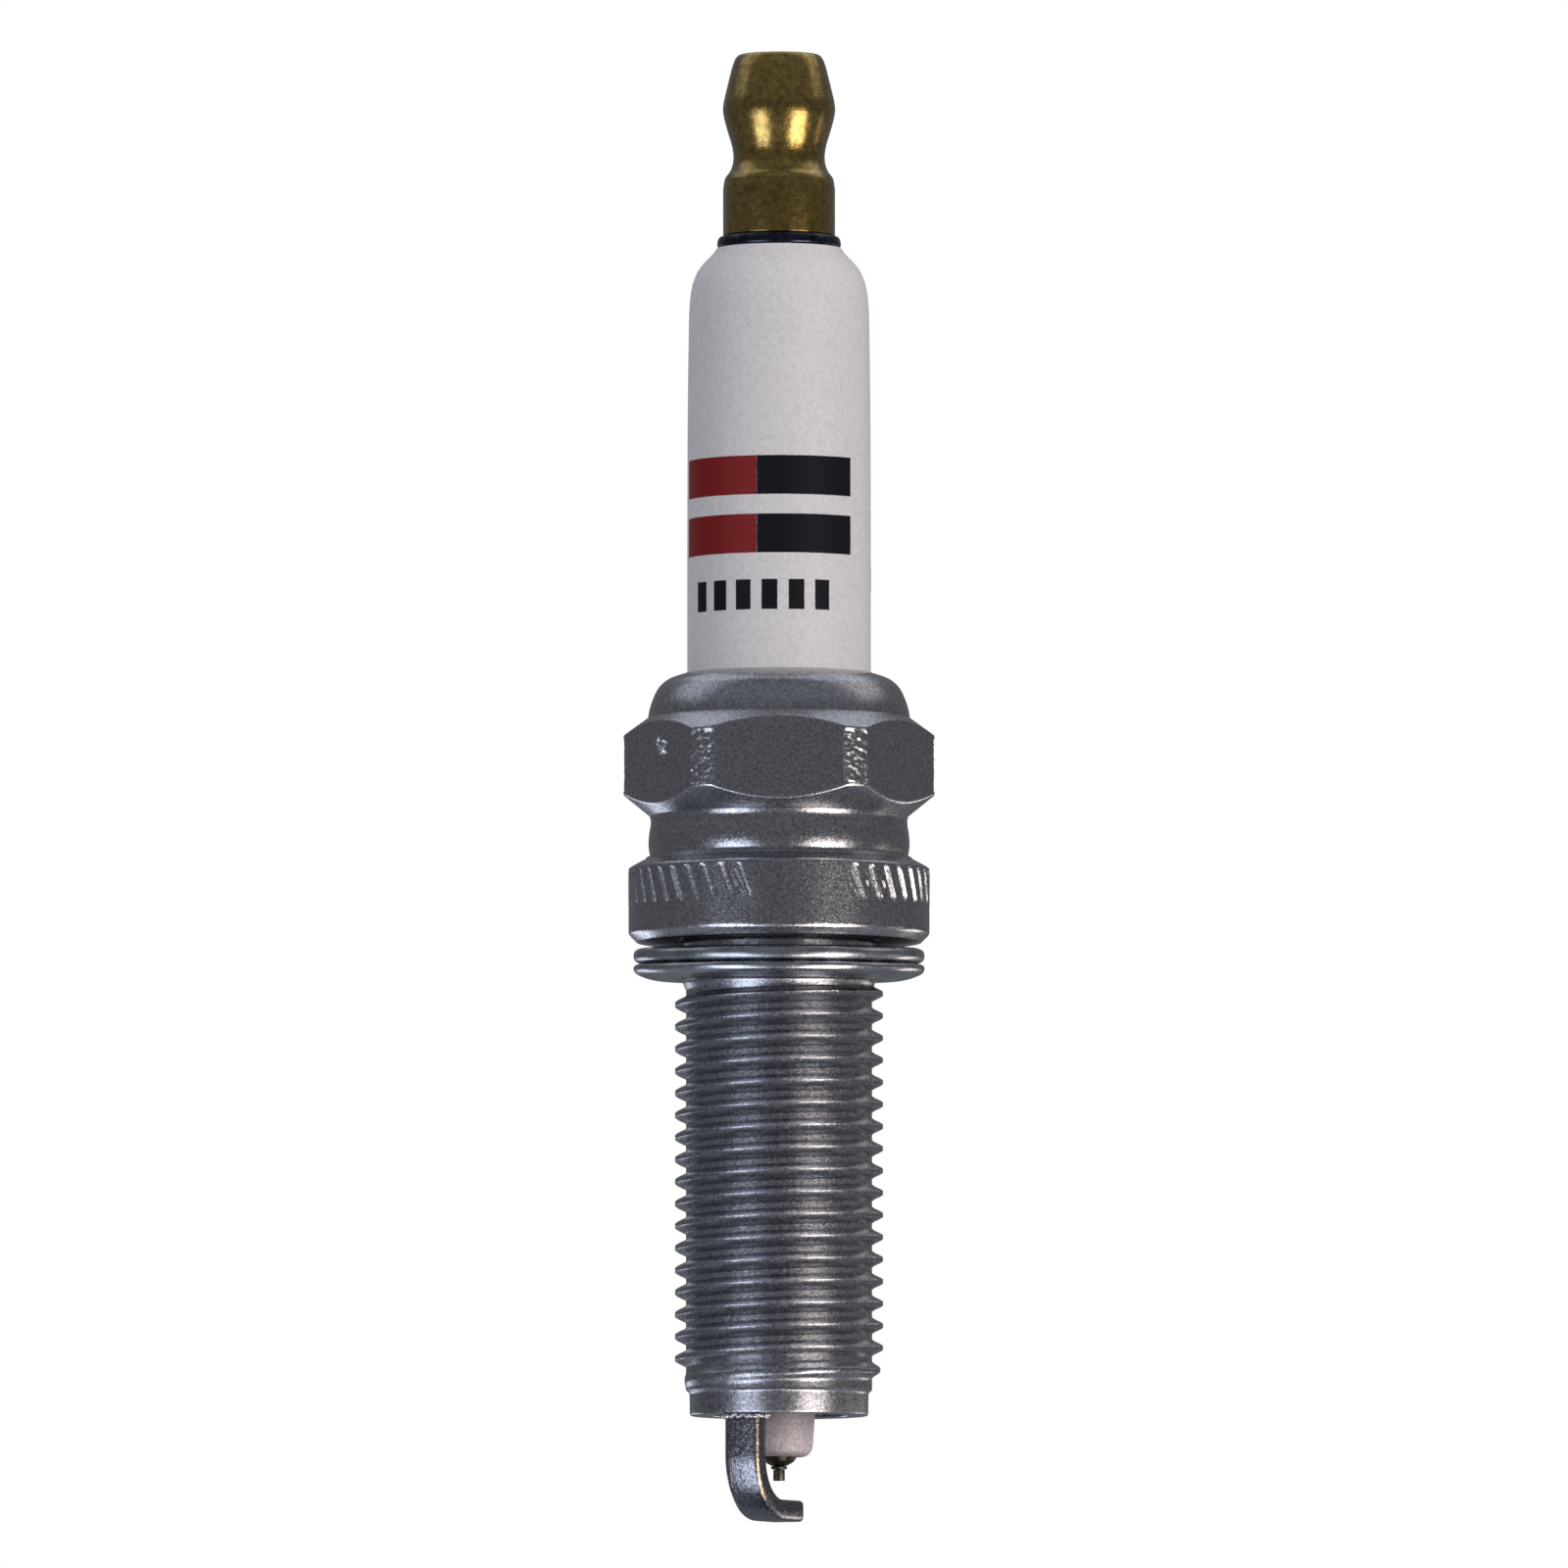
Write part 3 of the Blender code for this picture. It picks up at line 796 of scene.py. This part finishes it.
            # Next to the plain front the knurl was struck twice: short, uneven marks between the notches.
            from_middle = abs(column - per_notch // 2)
            if min(abs(degrees - first), abs(degrees - last)) > self.double_struck_deg or from_middle > 1:
                return 0.0
            wave = math.sin(z * 5.3 + index * 2.1) + 0.5 * math.sin(z * 11.0 + index)
            deep = share_of(min(self.notch_top - 0.1 - z, z - self.notch_bottom - 0.2) / 0.2)
            return deep * wave * (0.045 if from_middle else -0.075)

        def wall(z: float, angle: float) -> tuple[float, float, float]:
            lean = -(min(self.notch_top, max(self.notch_bottom, z)) - middle) / half * reach
            return (self.flange_r + notch(angle, z), z, lean)

        heights = (4.12, 4.06, 4.02, 3.96, 3.90, 3.84, 3.5, 3.1, 2.7, 2.35, 2.18, 2.12, 2.06, 2.0, 1.94,
                   1.5, 1.0, 0.70, 0.62)
        return [lathe.ring(self.fine, partial(wall, z)) for z in heights]

    def dress(self, piece: Thing) -> None:
        """Give the punched dents and struck notches a bright, torn skin, and the thread a satin one.

        Args:
            piece: The shell object.
        """
        piece.data.materials.append(TORN_PLATING.material())
        piece.data.materials.append(ROLLED_THREAD.material())
        for face in piece.data.polygons:
            spot = face.center / MM
            radius = math.hypot(spot.x, spot.y)
            angle = math.atan2(spot.y, spot.x) % (2 * math.pi)
            low, high = self.struck_r
            struck = self.notch_bottom < spot.z < self.notch_top and low < radius < high
            if struck or self.dents(angle, spot.z) > 0.03:
                face.material_index = 1
            elif self.satin_z[0] < spot.z < self.satin_z[1] and radius > self.satin_from_r:
                face.material_index = 2

    def build(self) -> None:
        """Build the shell as one closed mesh."""
        lathe = Lathe()
        crimp = flowing([
            (5.25, 15.12), (5.34, 15.20), (5.58, 15.13), (6.0, 15.0), (6.42, 14.79), (6.78, 14.45),
            (6.98, 14.12), (7.12, 13.8), (7.25, 13.45), (7.34, 13.1), (7.385, 12.85)], 2)
        neck = flowing([
            (7.28, 7.02), (7.25, 6.85), (7.27, 6.55), (7.33, 6.2), (7.37, 5.8), (7.375, 5.5), (7.35, 5.2),
            (7.30, 4.93)], 3)
        neck += [(7.31, 4.86), (7.38, 4.82), (7.47, 4.80), (7.52, 4.77), (7.54, 4.70), (7.62, 4.66),
                 (8.0, 4.46), (8.32, 4.28), (8.43, 4.21), (8.48, 4.16)]
        foot = [(8.495, 0.54), (8.48, 0.47), (8.43, 0.39), (8.32, 0.28), (8.20, 0.16), (8.08, 0.04),
                (8.03, 0.0), (7.4, 0.0), (6.8, 0.0), (6.2, 0.0), (5.75, 0.0)]
        half = (self.notch_top - self.notch_bottom) / 2
        reach = math.tan(math.radians(self.lean_deg)) / self.flange_r * half
        outer = lathe.level_rings(self.fine, crimp) + self.hexagon(lathe)
        outer += lathe.level_rings(self.fine, neck, (0.0, -reach)) + self.flange(lathe, reach)
        outer += lathe.level_rings(self.fine, foot, (reach, 0.0))
        lathe.join(outer)
        throat = lathe.rows(self.coarse, rounded([(5.62, 0.0), (5.43, 0.0, 0.15), (5.43, -1.75)]))
        Thread(pitch=1.25, root_r=5.25, crest_r=5.88, first_crest_z=-2.275, turns=18.1, top_z=-1.75,
               bottom_z=-25.30, columns=self.coarse, fade_in=0.45, fade_out=0.8, start_deg=180.0,
               neck_r=5.43, neck_z=-2.72).cut(lathe)
        inside = lathe.rows(self.coarse, rounded([
            (5.25, -25.30), (5.05, -25.48, 0.1), (5.03, -26.75, 0.14), (3.90, -26.75, 0.08), (3.90, -13.10),
            (4.45, -12.55), (4.45, -1.0), (6.10, 0.65), (6.10, 13.30), (5.92, 13.88), (5.29, 14.62),
            (5.25, 14.95)]))
        lathe.bridge(outer[-1], throat[0])
        lathe.bridge(inside[-1], outer[0])
        piece = lathe.finish(PLATED_STEEL, "plug", "shell")
        piece.modifiers.new("even_shading", "WEIGHTED_NORMAL").keep_sharp = True
        self.dress(piece)


@dataclass
class Insulator:
    """Alumina insulator: printed, glazed barrel and bare nose."""

    columns: int = 144
    barrel_r: float = 5.19
    top_z: float = 39.37
    glaze_end_z: float = -12.0

    def build(self) -> None:
        """Build the insulator and dress its glazed and bare stretches."""
        shoulder = flowing([
            (3.53, 39.34), (3.74, 39.04), (4.07, 38.70), (4.37, 38.37), (4.60, 38.04), (4.76, 37.70),
            (4.87, 37.40), (4.96, 37.0), (5.02, 36.6), (5.07, 36.0), (5.10, 35.2), (5.15, 31.7),
            (5.18, 27.9), (self.barrel_r, 22.0)], 2)
        hidden = rounded([
            (self.barrel_r, 15.7), (self.barrel_r, 9.50), (5.94, 8.60), (5.98, 8.40), (5.98, 1.30),
            (4.50, -0.35), (4.33, -0.80), (4.33, -12.175), (3.42, -13.085)])
        nose = flowing([
            (3.0, -16.2), (2.42, -22.0), (2.06, -26.3), (1.96, -27.6), (1.91, -28.35), (1.86, -28.62),
            (1.75, -28.83), (1.58, -28.97), (1.38, -29.05)], 3)
        bore = rounded([
            (1.22, -29.05, 0.02), (1.10, -28.95), (1.10, -12.75), (1.95, -11.90), (1.95, 39.17),
            (2.15, self.top_z), (3.40, self.top_z)])
        outline = shoulder + hidden + nose + bore
        piece = turn_whole(self.columns, outline, GLAZED_ALUMINA, "plug", "insulator")
        piece.data.materials.append(BARE_ALUMINA.material())
        for face in piece.data.polygons:
            if face.center.z < self.glaze_end_z * MM:
                face.material_index = 1


@dataclass
class Terminal:
    """Terminal nut, the ring it sits on and the threaded stud inside."""

    columns: int = 128
    stud_columns: int = 48
    nut_top: float = 50.35
    nut_bottom: float = 40.05
    bore_r: float = 2.10

    def build(self) -> None:
        """Turn the waisted nut and the dark ring under it, and cut the M4 stud with its plain stem."""
        crown = flowing([(2.24, self.nut_top), (2.33, 50.31), (2.43, 50.21), (2.52, 50.06), (2.58, 49.90)], 2)
        waist = flowing([
            (2.66, 49.67), (2.78, 49.2), (2.91, 48.67), (3.07, 48.0), (3.15, 47.6), (3.18, 47.2),
            (3.10, 46.7), (2.91, 46.0), (2.71, 45.35), (2.61, 44.85), (2.59, 44.5), (2.64, 44.1),
            (2.80, 43.7), (3.05, 43.36), (3.13, 43.0), (3.17, 42.7)], 4)
        foot = rounded([
            (3.17, 42.4), (3.17, self.nut_bottom, 0.09), (2.30, self.nut_bottom), (self.bore_r, 40.25),
            (self.bore_r, 50.20), (2.24, self.nut_top)])
        turn_whole(self.columns, crown + waist + foot, TURNED_BRASS, "terminal", "terminal_nut")
        ring = rounded([
            (3.36, 39.99, 0.05), (3.46, 39.86, 0.06), (3.51, 39.60, 0.08), (3.48, 39.43, 0.04),
            (2.20, 39.43), (2.20, 39.99)], closed=True)
        turn_whole(self.columns, ring, BLUED_STEEL, "seal_ring", "terminal_seal_ring")
        stud = Lathe()
        rings = stud.rows(self.stud_columns, rounded([(1.10, 49.6), (1.30, 49.6, 0.1), (1.54, 49.36)]))
        stud.cap(rings[0], 49.6)
        Thread(pitch=0.70, root_r=1.54, crest_r=1.95, first_crest_z=49.0, turns=11.6, top_z=49.36,
               bottom_z=40.60, columns=self.stud_columns, fade_in=0.3, fade_out=0.3).cut(stud)
        stem = rounded([(1.54, 40.60), (1.80, 40.3), (1.80, 9.4), (1.45, 9.1), (1.45, 5.1, 0.1), (1.20, 4.9)])
        stud.cap(stud.rows(self.stud_columns, stem)[-1], 4.9)
        stud.finish(STUD_STEEL, "plug", "terminal_stud")


@dataclass
class CrushGasket:
    """Captive gasket folded into two layers, hanging with its front a little low."""

    columns: int = 192
    tilt_deg: float = 1.9

    def build(self) -> None:
        """Turn the folded section and tilt it."""
        upper = flowing([
            (6.40, -0.30), (7.20, -0.31), (7.75, -0.33), (8.05, -0.42), (8.19, -0.58), (8.22, -0.76),
            (8.19, -0.95), (8.08, -1.10), (7.92, -1.17)], 4)
        lower = flowing([
            (7.84, -1.20), (7.96, -1.235), (8.12, -1.29), (8.21, -1.40), (8.22, -1.53), (8.15, -1.69),
            (7.98, -1.83), (7.70, -1.95), (7.35, -2.07), (6.85, -2.17), (6.40, -2.20)], 4)
        inner = flowing([
            (6.10, -2.20), (5.86, -2.10), (5.72, -1.85), (5.66, -1.45), (5.66, -0.95), (5.74, -0.62),
            (5.92, -0.40), (6.20, -0.31)], 3)
        turn_whole(self.columns, upper + lower + inner, GASKET_STEEL, "gasket", "gasket",
                   tilt_deg=self.tilt_deg)


@dataclass
class CentreElectrode:
    """Nickel centre electrode, weld bead and fine wire tip."""

    columns: int = 72
    fine_columns: int = 48
    wire_r: float = 1.04
    tip_r: float = 0.33
    tip_end: float = -30.40

    def build(self) -> None:
        """Turn the electrode, the bead and the tip."""
        wire = Lathe()
        outline = rounded([
            (0.60, -10.9), (1.55, -10.9, 0.1), (1.84, -11.1, 0.1), (1.84, -11.85), (self.wire_r, -12.72),
            (self.wire_r, -28.7), (1.00, -29.08, 0.1), (0.84, -29.33, 0.08), (0.45, -29.55), (0.2, -29.55)])
        wire.cap(wire.rows(self.columns, outline)[-1], -29.55)
        pocket = wire.rows(self.columns, [(0.60, -10.9), (0.60, -26.9), (0.3, -27.1)])
        wire.cap(pocket[-1], -27.2)
        wire.finish(NICKEL_WIRE, "plug", "center_electrode")
        bead = flowing([
            (0.10, -29.57), (0.40, -29.575), (0.465, -29.64), (0.44, -29.72), (0.36, -29.765),
            (0.10, -29.77)], 3)
        turn_whole(self.fine_columns, bead, LASER_WELD, "plug", "tip_weld_bead", closed=False)
        tip = rounded([
            (0.15, -29.79), (self.tip_r, -29.79, 0.02), (self.tip_r, self.tip_end, 0.035),
            (0.15, self.tip_end)])
        turn_whole(self.fine_columns, tip, TIP_WIRE, "plug", "iridium_tip", closed=False)


@dataclass
class GroundElectrode:
    """J-shaped strap with rounded edges, and its weld flash on the shell's end."""

    width: float = 2.15
    thickness: float = 1.20
    root_r: float = 4.30
    root_z: float = -26.80
    bend_r: float = 3.00
    low_z: float = -32.10
    past_axis: float = 1.00
    azimuth_deg: float = 244.0
    edge: float = 0.32
    # Height in mm where the painted edge highlight stops, near the bottom of the bend.
    painted_highlight_end_z: float = -31.5
    flash_gap: float = 0.02
    bead_count: int = 46

    def section(self) -> Outline:
        """The strap's cross-section: (across thickness, across width) with rounded corners."""
        t = self.thickness / 2
        w = self.width / 2
        corners = [(t, -w, self.edge), (t, w, self.edge), (-t, w, self.edge), (-t, -w, self.edge)]
        return rounded(corners, 4, closed=True)

    def stations(self) -> list[tuple[Vector, Vector]]:
        """Points down the strap's middle, each with the direction away from the bend's centre."""
        bend_x = self.root_r - self.bend_r
        bend_z = self.low_z + self.bend_r
        found = []
        for k in range(6):
            z = self.root_z + (bend_z - self.root_z) * k / 6
            found.append((Vector((self.root_r, 0.0, z)), Vector((1.0, 0.0, 0.0))))
        for k in range(25):
            angle = math.radians(90 * k / 24)
            out = Vector((math.cos(angle), 0.0, -math.sin(angle)))
            found.append((Vector((bend_x, 0.0, bend_z)) + out * self.bend_r, out))
        down = Vector((0.0, 0.0, -1.0))
        for k in range(1, 7):
            x = bend_x - (bend_x + self.past_axis) * k / 6
            found.append((Vector((x, 0.0, self.low_z)), down))
        return found

    def build(self) -> None:
        """Sweep the strap and lay the weld flash round its root."""
        strap = Lathe()
        outline = self.section()
        rings = [[strap.bm.verts.new(centre + out * across + Vector((0.0, along, 0.0)))
                  for across, along in outline] for centre, out in self.stations()]
        strap.join(rings)
        for ring, inward in ((rings[0], Vector((0, 0, -0.07))), (rings[-1], Vector((0.07, 0, 0)))):
            centre = sum((v.co for v in ring), Vector()) / len(ring)
            lip = [strap.bm.verts.new(centre + (v.co - centre) * 0.94) for v in ring]
            for v in ring:
                v.co += inward
            strap.skin(ring, lip)
            strap.bm.faces.new(lip)
        back = strap.rotate(self.azimuth_deg, "Z").inverted()
        piece = strap.finish(STRAP_NICKEL, "plug", "ground_electrode", sharp_deg=50.0)
        # The rounded edge faces above a height near the bottom of the bend take the brighter edge finish: a
        # painted highlight along the sheared edge.
        piece.data.materials.append(SHEARED_EDGE_PAINTED_HIGHLIGHT.material())
        for face in piece.data.polygons:
            facing = abs((back @ face.normal).y)
            if 0.25 < facing < 0.97 and face.center.z > self.painted_highlight_end_z * MM:
                face.material_index = 1
        self.build_flash()

    def round_root(self, along: float) -> tuple[float, float]:
        """Where a walk round the strap's root has come after a distance in mm."""
        half_t = self.thickness / 2 + self.flash_gap
        half_w = self.width / 2 + self.flash_gap
        sides = ((half_t, -half_w, 0, 1, 2 * half_w), (half_t, half_w, -1, 0, 2 * half_t),
                 (-half_t, half_w, 0, -1, 2 * half_w), (-half_t, -half_w, 1, 0, 2 * half_t))
        for x, y, dx, dy, length in sides:
            if along < length:
                break
            along -= length
        return (x + dx * along, y + dy * along)

    def build_flash(self) -> None:
        """Lay small frozen beads of weld metal in a frame round the strap's root."""
        draw = random.Random(5)
        beads = Lathe()
        perimeter = 2 * (self.thickness + self.width + 4 * self.flash_gap)
        for k in range(self.bead_count):
            x, y = self.round_root(perimeter * k / self.bead_count)
            size = draw.uniform(0.09, 0.15)
            spot = Vector((self.root_r + x, y, self.root_z - draw.uniform(0.02, 0.16)))
            made = bmesh.ops.create_icosphere(beads.bm, subdivisions=2, radius=size)
            bmesh.ops.scale(beads.bm, vec=(1.0, 1.2, draw.uniform(0.6, 1.0)), verts=made["verts"])
            bmesh.ops.translate(beads.bm, vec=spot, verts=made["verts"])
        beads.rotate(self.azimuth_deg, "Z")
        beads.finish(WELD_FLASH, "plug", "ground_electrode_weld", "beads", 60.0)


class SealedStack:
    """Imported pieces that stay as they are, hidden in the insulator and the shell."""

    finishes = {
        # Sealing glasses, fused round metal powder: near-black above, copper brown below.
        "upper_glass_seal": FiredFinish(
            "sealing_glass_carbon_filled", "332f2d", "191716", 0.32, 0.15, 6.0, 0.3),
        "lower_glass_seal": FiredFinish(
            "sealing_glass_copper_filled", "6b4a38", "3d261c", 0.36, 0.15, 6.0, 0.3),
        # Resistor mix of glass and carbon, hot pressed: matt black with pale grains.
        "resistor_core": FiredFinish(
            "resistor_mix_hot_pressed", "3a3a3c", "161617", 0.62, 0.20, 10.0, 0.25),
        # Talc, pressed to a dense chalky ring.
        "talc_fill": FiredFinish(
            "talc_pressed", "dcdad3", "c3c0b6", 0.85, 0.12, 14.0, 0.5),
        # Extruded copper cores, seen only at their open ends.
        "center_electrode_core": MetalFinish(
            "copper_extruded", "d08a62", "a8633f", 0.35, 0.08, 0.6, 0.10, 3.0, Tooling.DRAWN),
        "ground_electrode_core": MetalFinish(
            "copper_strip_core", "cb8760", "a15f3e", 0.36, 0.08, 0.6, 0.10, 3.0),
        # Stamped and drawn steel packings, unplated.
        "lower_seat_washer": MetalFinish(
            "steel_washer_stamped", "9a9b9d", "77787c", 0.42, 0.08, 0.8, 0.10, 4.0),
        "lower_packing_ring": MetalFinish(
            "steel_wire_ring_lower", "8d8e92", "6a6b70", 0.42, 0.08, 0.6, 0.10, 4.0),
        "upper_packing_ring": MetalFinish(
            "steel_wire_ring_upper", "94959a", "707176", 0.42, 0.08, 0.6, 0.10, 4.0),
    }

    def dress(self, nodes: dict[str, Thing]) -> None:
        """Give each hidden node its material.

        Args:
            nodes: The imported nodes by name.
        """
        for name, finish in self.finishes.items():
            slots = nodes[name].data.materials
            slots.clear()
            slots.append(finish.material())
            LOG.info("%s: dressed in %s", name, finish.name)


# ---------------------------------------------------------------- studio


def aim(holder: Thing, target: Vector, away: Vector, distance: float) -> None:
    """Stand a light or camera off from a target and face it.

    Args:
        holder: The object to place.
        target: What it faces, in metres.
        away: Unit direction from the target to it.
        distance: How far off it stands, in metres.
    """
    holder.location = target + away * distance
    holder.rotation_mode = "QUATERNION"
    holder.rotation_quaternion = (-away).to_track_quat("-Z", "Y")


@dataclass(frozen=True)
class Softbox:
    """A rectangular light; sizes in metres, angles in degrees from the front and above the horizon."""

    name: str
    azimuth: float
    elevation: float
    distance: float
    width: float
    height: float
    power: float
    colour: str
    glossy: bool = True
    diffuse: bool = True

    def hang(self) -> None:
        """Put the light in the scene, facing the plug's origin."""
        lamp = bpy.data.lights.new(self.name, "AREA")
        lamp.shape = "RECTANGLE"
        lamp.size = self.width
        lamp.size_y = self.height
        lamp.energy = self.power
        lamp.color = linear(self.colour)[:3]
        holder = place(bpy.data.objects.new(self.name, lamp))
        turn = math.radians(self.azimuth)
        rise = math.radians(self.elevation)
        away = Vector((math.sin(turn) * math.cos(rise), -math.cos(turn) * math.cos(rise), math.sin(rise)))
        aim(holder, Vector(), away, self.distance)
        holder.visible_glossy = self.glossy
        holder.visible_diffuse = self.diffuse
        holder.visible_camera = False


@dataclass
class Studio:
    """Floor, world, lights and camera."""

    frame_height: float = 0.0886
    distance: float = 1.19
    elevation_deg: float = -4.0
    target: tuple[float, float, float] = (0.00028, 0.0, 0.00898)
    sensor: float = 36.0
    floor_z: float = -1.30
    floor_paint: str = "f4f4f4"
    nadir: str = "54565c"
    zenith: str = "6c7078"
    shades: tuple[tuple[float, str], ...] = (
        (0.03, "585a61"), (0.07, "8f939c"), (0.16, "83878f"), (0.40, "67696f"), (0.5, "67686c"),
        (0.68, "6c6e74"), (0.82, "85888f"), (0.92, "7c8087"))

    def build_world(self) -> None:
        """A white surround for the camera, and grey levels from nadir to zenith in reflections."""
        world = bpy.data.worlds.new("studio")
        bpy.context.scene.world = world
        world.use_nodes = True
        tree = world.node_tree
        tree.nodes.clear()
        seen = add_node(tree, "ShaderNodeBackground", {"Color": linear("ffffff"), "Strength": 1.0})
        rays = add_node(tree, "ShaderNodeLightPath")
        way = add_node(tree, "ShaderNodeTexCoord").outputs["Generated"]
        split = add_node(tree, "ShaderNodeSeparateXYZ", {0: way})
        ramp = add_node(tree, "ShaderNodeValToRGB",
                        {"Fac": map_range(tree, split.outputs["Z"], (-1.0, 1.0), (0.0, 1.0))})
        levels = ramp.color_ramp.elements
        levels[0].color = linear(self.nadir)
        levels[1].color = linear(self.zenith)
        for level, shade in self.shades:
            levels.new(level).color = linear(shade)
        dim = add_node(tree, "ShaderNodeBackground", {"Color": ramp.outputs["Color"], "Strength": 1.0})
        mixed = add_node(tree, "ShaderNodeMixShader",
                         {0: rays.outputs["Is Camera Ray"], 1: dim.outputs[0], 2: seen.outputs[0]})
        add_node(tree, "ShaderNodeOutputWorld", {0: mixed.outputs[0]})

    def build_floor(self) -> None:
        """A plain pale floor well below the plug."""
        bm = bmesh.new()
        bmesh.ops.create_grid(bm, x_segments=1, y_segments=1, size=6.0)
        mesh = bpy.data.meshes.new("studio_floor")
        bm.to_mesh(mesh)
        bm.free()
        floor = place(bpy.data.objects.new("studio_floor", mesh))
        floor.location.z = self.floor_z
        paint = bpy.data.materials.new("floor_paint_matt")
        paint.use_nodes = True
        for socket, value in (("Base Color", linear(self.floor_paint)), ("Roughness", 0.9),
                              ("Emission Color", linear(self.floor_paint)), ("Emission Strength", 0.92)):
            paint.node_tree.nodes["Principled BSDF"].inputs[socket].default_value = value
        floor.data.materials.append(paint)
        floor.visible_glossy = False
        floor.visible_diffuse = False

    def build_lights(self) -> None:
        """Two strips for the metal's highlights, matching ones behind, and fills the metal doesn't show."""
        for box in (
            Softbox("strip_left_cool", -42.0, -34.0, 0.42, 0.22, 0.40, 0.92, "e8eeff", diffuse=False),
            Softbox("strip_right_warm", 45.0, -34.0, 0.42, 0.24, 0.40, 1.75, "fff1e8", diffuse=False),
            Softbox("rim_right", 104.0, -15.0, 0.42, 0.05, 0.16, 0.03, "ffe9dc", diffuse=False),
            Softbox("strip_back_left", 212.0, -19.0, 0.42, 0.12, 0.16, 0.14, "e8eeff", diffuse=False),
            Softbox("strip_back_right", 134.0, -19.0, 0.42, 0.12, 0.16, 0.16, "fff1e8", diffuse=False),
            Softbox("overhead", 176.0, 70.0, 0.50, 0.66, 0.46, 0.55, "f2f6ff"),
            Softbox("top_left", -102.0, 42.0, 0.50, 0.30, 0.26, 0.12, "eef2ff"),
            Softbox("top_right", 102.0, 42.0, 0.50, 0.30, 0.26, 0.12, "fff8f4"),
            Softbox("fill_left", -48.0, 12.0, 1.03, 0.8, 0.8, 3.3, "f6f8ff", glossy=False),
            Softbox("fill_right", 45.0, 12.0, 1.03, 0.8, 0.8, 7.3, "fff8f6", glossy=False),
            Softbox("fill_back", 190.0, 14.0, 1.03, 0.8, 0.8, 5.0, "ffffff", glossy=False),
        ):
            box.hang()

    def build_camera(self) -> None:
        """A long lens a little below the plug's middle."""
        lens = bpy.data.cameras.new("camera")
        lens.sensor_width = self.sensor
        lens.lens = self.sensor * self.distance / self.frame_height
        lens.clip_start = 0.05
        lens.clip_end = 50.0
        camera = place(bpy.data.objects.new("camera", lens))
        tilt = math.radians(self.elevation_deg)
        aim(camera, Vector(self.target), Vector((0.0, -math.cos(tilt), math.sin(tilt))), self.distance)
        bpy.context.scene.camera = camera

    def build(self) -> None:
        """Set up the whole studio."""
        bpy.context.scene.view_settings.view_transform = "Standard"
        self.build_world()
        self.build_floor()
        self.build_lights()
        self.build_camera()


def main() -> None:
    """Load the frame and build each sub-assembly."""
    logging.basicConfig(level=logging.INFO, format="%(name)s %(message)s")
    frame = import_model()
    for assembly in (Studio(), Shell(), Insulator(), Terminal(), CrushGasket(), CentreElectrode(),
                     GroundElectrode()):
        assembly.build()
    SealedStack().dress(frame["nodes"])


if __name__ == "__main__":
    main()
